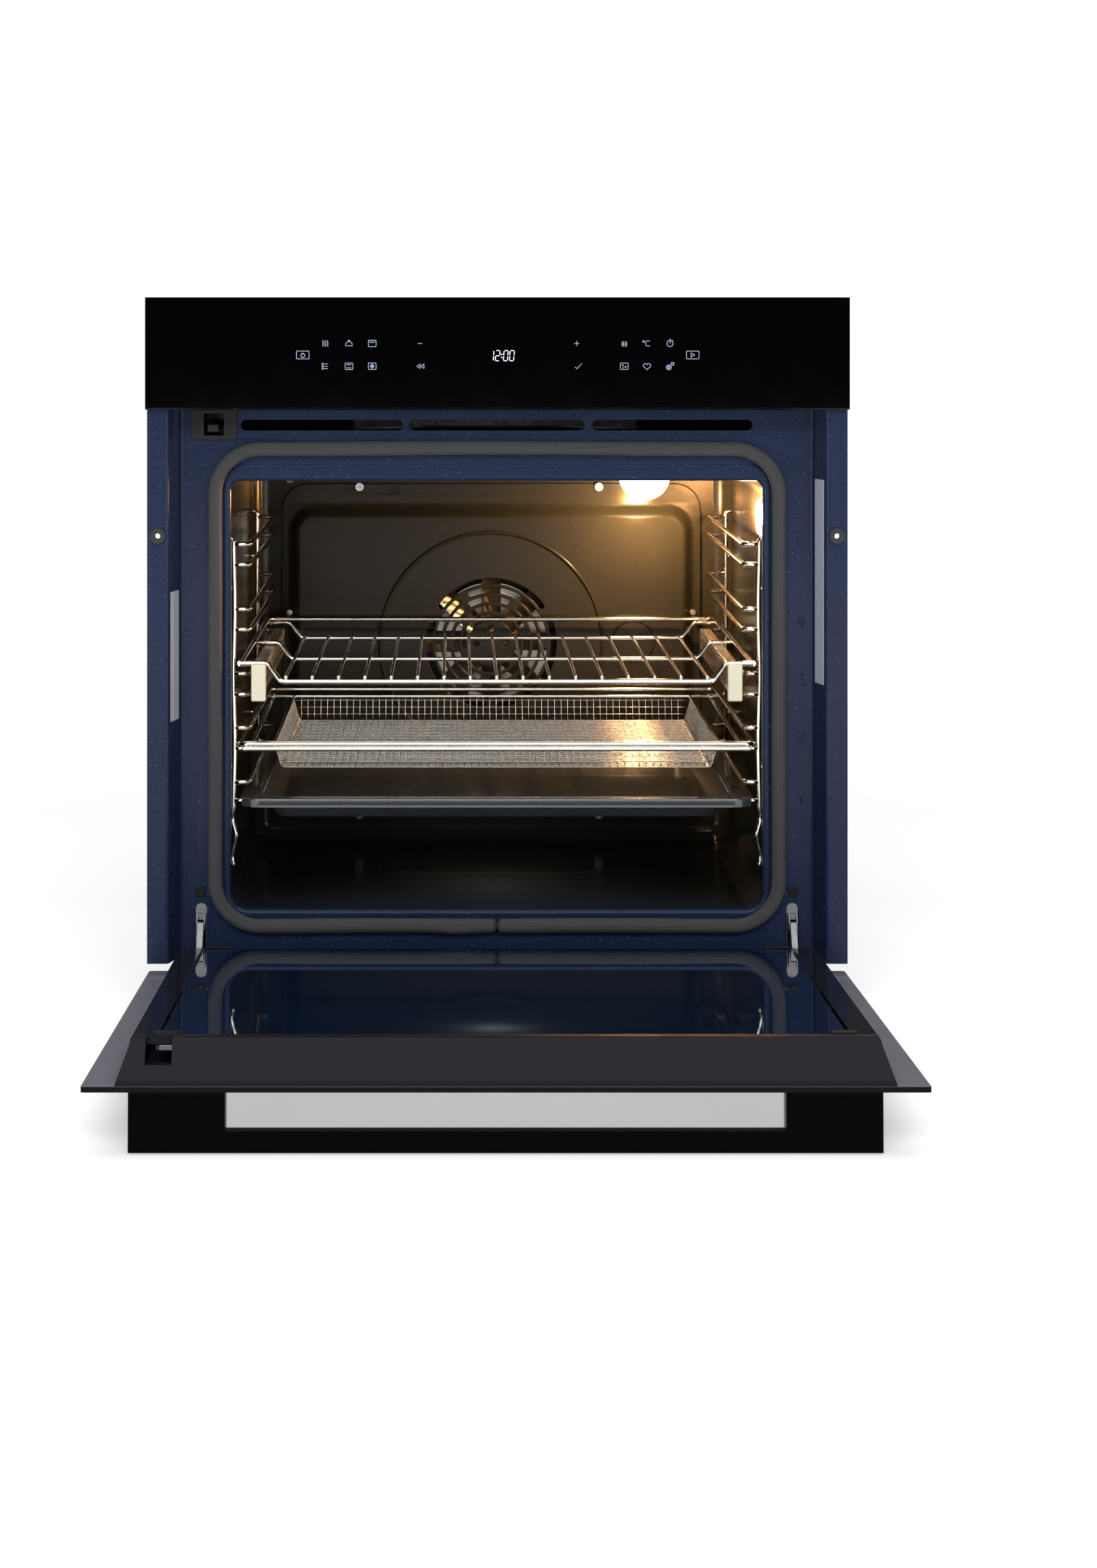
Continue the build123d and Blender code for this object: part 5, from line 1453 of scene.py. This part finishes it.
def stage_setting():
    """The camera level with the control glass, a pale floor, the studio's air, five soft lights,
    the oven's own two lamps and a faint fill low in the cavity."""
    scene = bpy.context.scene
    camera = bpy.data.objects.new("camera", bpy.data.cameras.new("camera"))
    scene.collection.objects.link(camera)
    x, distance, z = CAMERA_PLACE
    camera.location = (x * MM, (FRONT - distance) * MM, z * MM)
    camera.rotation_euler = (math.pi / 2, 0, 0)
    camera.data.lens = LENS
    camera.data.sensor_width = 36
    camera.data.shift_x, camera.data.shift_y = LENS_SHIFT
    scene.camera = camera
    scene.view_settings.view_transform = "Standard"

    lowest = CAD_BOX[0][2] / MM - 1.0
    floor = Surface().grid(floor_sheet(lowest)).piece("studio_floor")
    s = Shader("pale_floor")
    length = {"operation": "LENGTH"}
    apart = s.node("ShaderNodeVectorMath", length, {0: s.place()}, output="Value")
    tone = s.mixed(s.noise(0.6), (0.84, 0.84, 0.84), (0.87, 0.87, 0.87))
    glow = s.mixed(apart.above(2.2, 2.4), (0.5, 0.5, 0.5), (1.0, 1.0, 1.0))
    paint = s.surface(Base_Color=tone, Roughness=0.8, Emission_Color=glow, Emission_Strength=1.0)
    finish(floor, paint)

    scene.world = studio_air()
    soft_light("overhead", (0.0, -0.9, 2.9), (0, -0.5, 0.0), (3.4, 2.6), 52)
    soft_light("front_high", (0.0, -4.2, 2.3), (0, -0.1, 0.2), (3.6, 1.0), 112)
    soft_light("rear_high", (0.0, 3.6, 2.4), (0, 0.2, 0.3), (3.0, 1.0), 34)
    for side in (-1, 1):
        soft_light("front_low", (side * 1.35, -3.3, 0.42), (0, 0.0, 0.2), (0.8, 0.6), 11)
    cavity_light("ceiling_lamp", (148.0, 395.0, 392.0), 4.0, LAMP_COLOUR)
    cavity_light("side_lamp", (224.0, 130.0, 401.0), 2.3, LAMP_COLOUR)
    low = cavity_light("low_fill", (0.0, 230.0, 120.0), 0.24, FILL_COLOUR)
    low.visible_glossy = False


def cavity_light(name, place, power, colour):
    """A small light in the cavity, at x, depth behind the control glass and height."""
    light = bpy.data.lights.new(name, "POINT")
    light.shadow_soft_size = LAMP_RADIUS
    light.energy = power
    light.color = colour
    thing = bpy.data.objects.new(name, light)
    bpy.context.scene.collection.objects.link(thing)
    x, depth, z = place
    thing.location = (x * MM, (FRONT + depth) * MM, z * MM)
    return thing


def studio_air():
    """A dim world for light and reflections, and a white one straight behind the object."""
    world = bpy.data.worlds.new("studio")
    world.use_nodes = True
    nodes, links = world.node_tree.nodes, world.node_tree.links
    dim = nodes["Background"]
    dim.inputs[0].default_value = (0.85, 0.92, 1.0, 1)
    dim.inputs[1].default_value = AIR_STRENGTH
    white = nodes.new("ShaderNodeBackground")
    white.inputs[0].default_value = (1, 1, 1, 1)
    white.inputs[1].default_value = WHITE_STRENGTH
    choice = nodes.new("ShaderNodeMixShader")
    links.new(nodes.new("ShaderNodeLightPath").outputs["Is Camera Ray"], choice.inputs[0])
    links.new(dim.outputs[0], choice.inputs[1])
    links.new(white.outputs[0], choice.inputs[2])
    links.new(choice.outputs[0], nodes["World Output"].inputs[0])
    return world


def floor_sheet(lowest):
    """The floor as a flat sheet: rows of points at one height."""
    side = np.linspace(-FLOOR_HALF, FLOOR_HALF, 9)
    x, y = np.meshgrid(side, side, indexing="ij")
    return np.stack([x, y, np.full(x.shape, lowest)], 2)


def soft_light(name, place, target, size, power):
    """A rectangular soft light at a place, turned to a target."""
    light = bpy.data.lights.new(name, "AREA")
    light.shape = "RECTANGLE"
    light.size, light.size_y = size
    light.energy = power
    thing = bpy.data.objects.new(name, light)
    bpy.context.scene.collection.objects.link(thing)
    thing.location = place
    thing.rotation_euler = (Vector(target) - Vector(place)).to_track_quat("-Z", "Y").to_euler()


stage_setting()
for node, width in SOFT_EDGES.items():
    softened(node, width)
front_frame()
gasket()
fan_cover()
baking_tray()
basket_mesh()
side_rack("right_side_rack", 1)
side_rack("left_side_rack", -1)
level_digits()
trim_tabs()
shelf_tips()
panel_print_painted_glow()
clock()
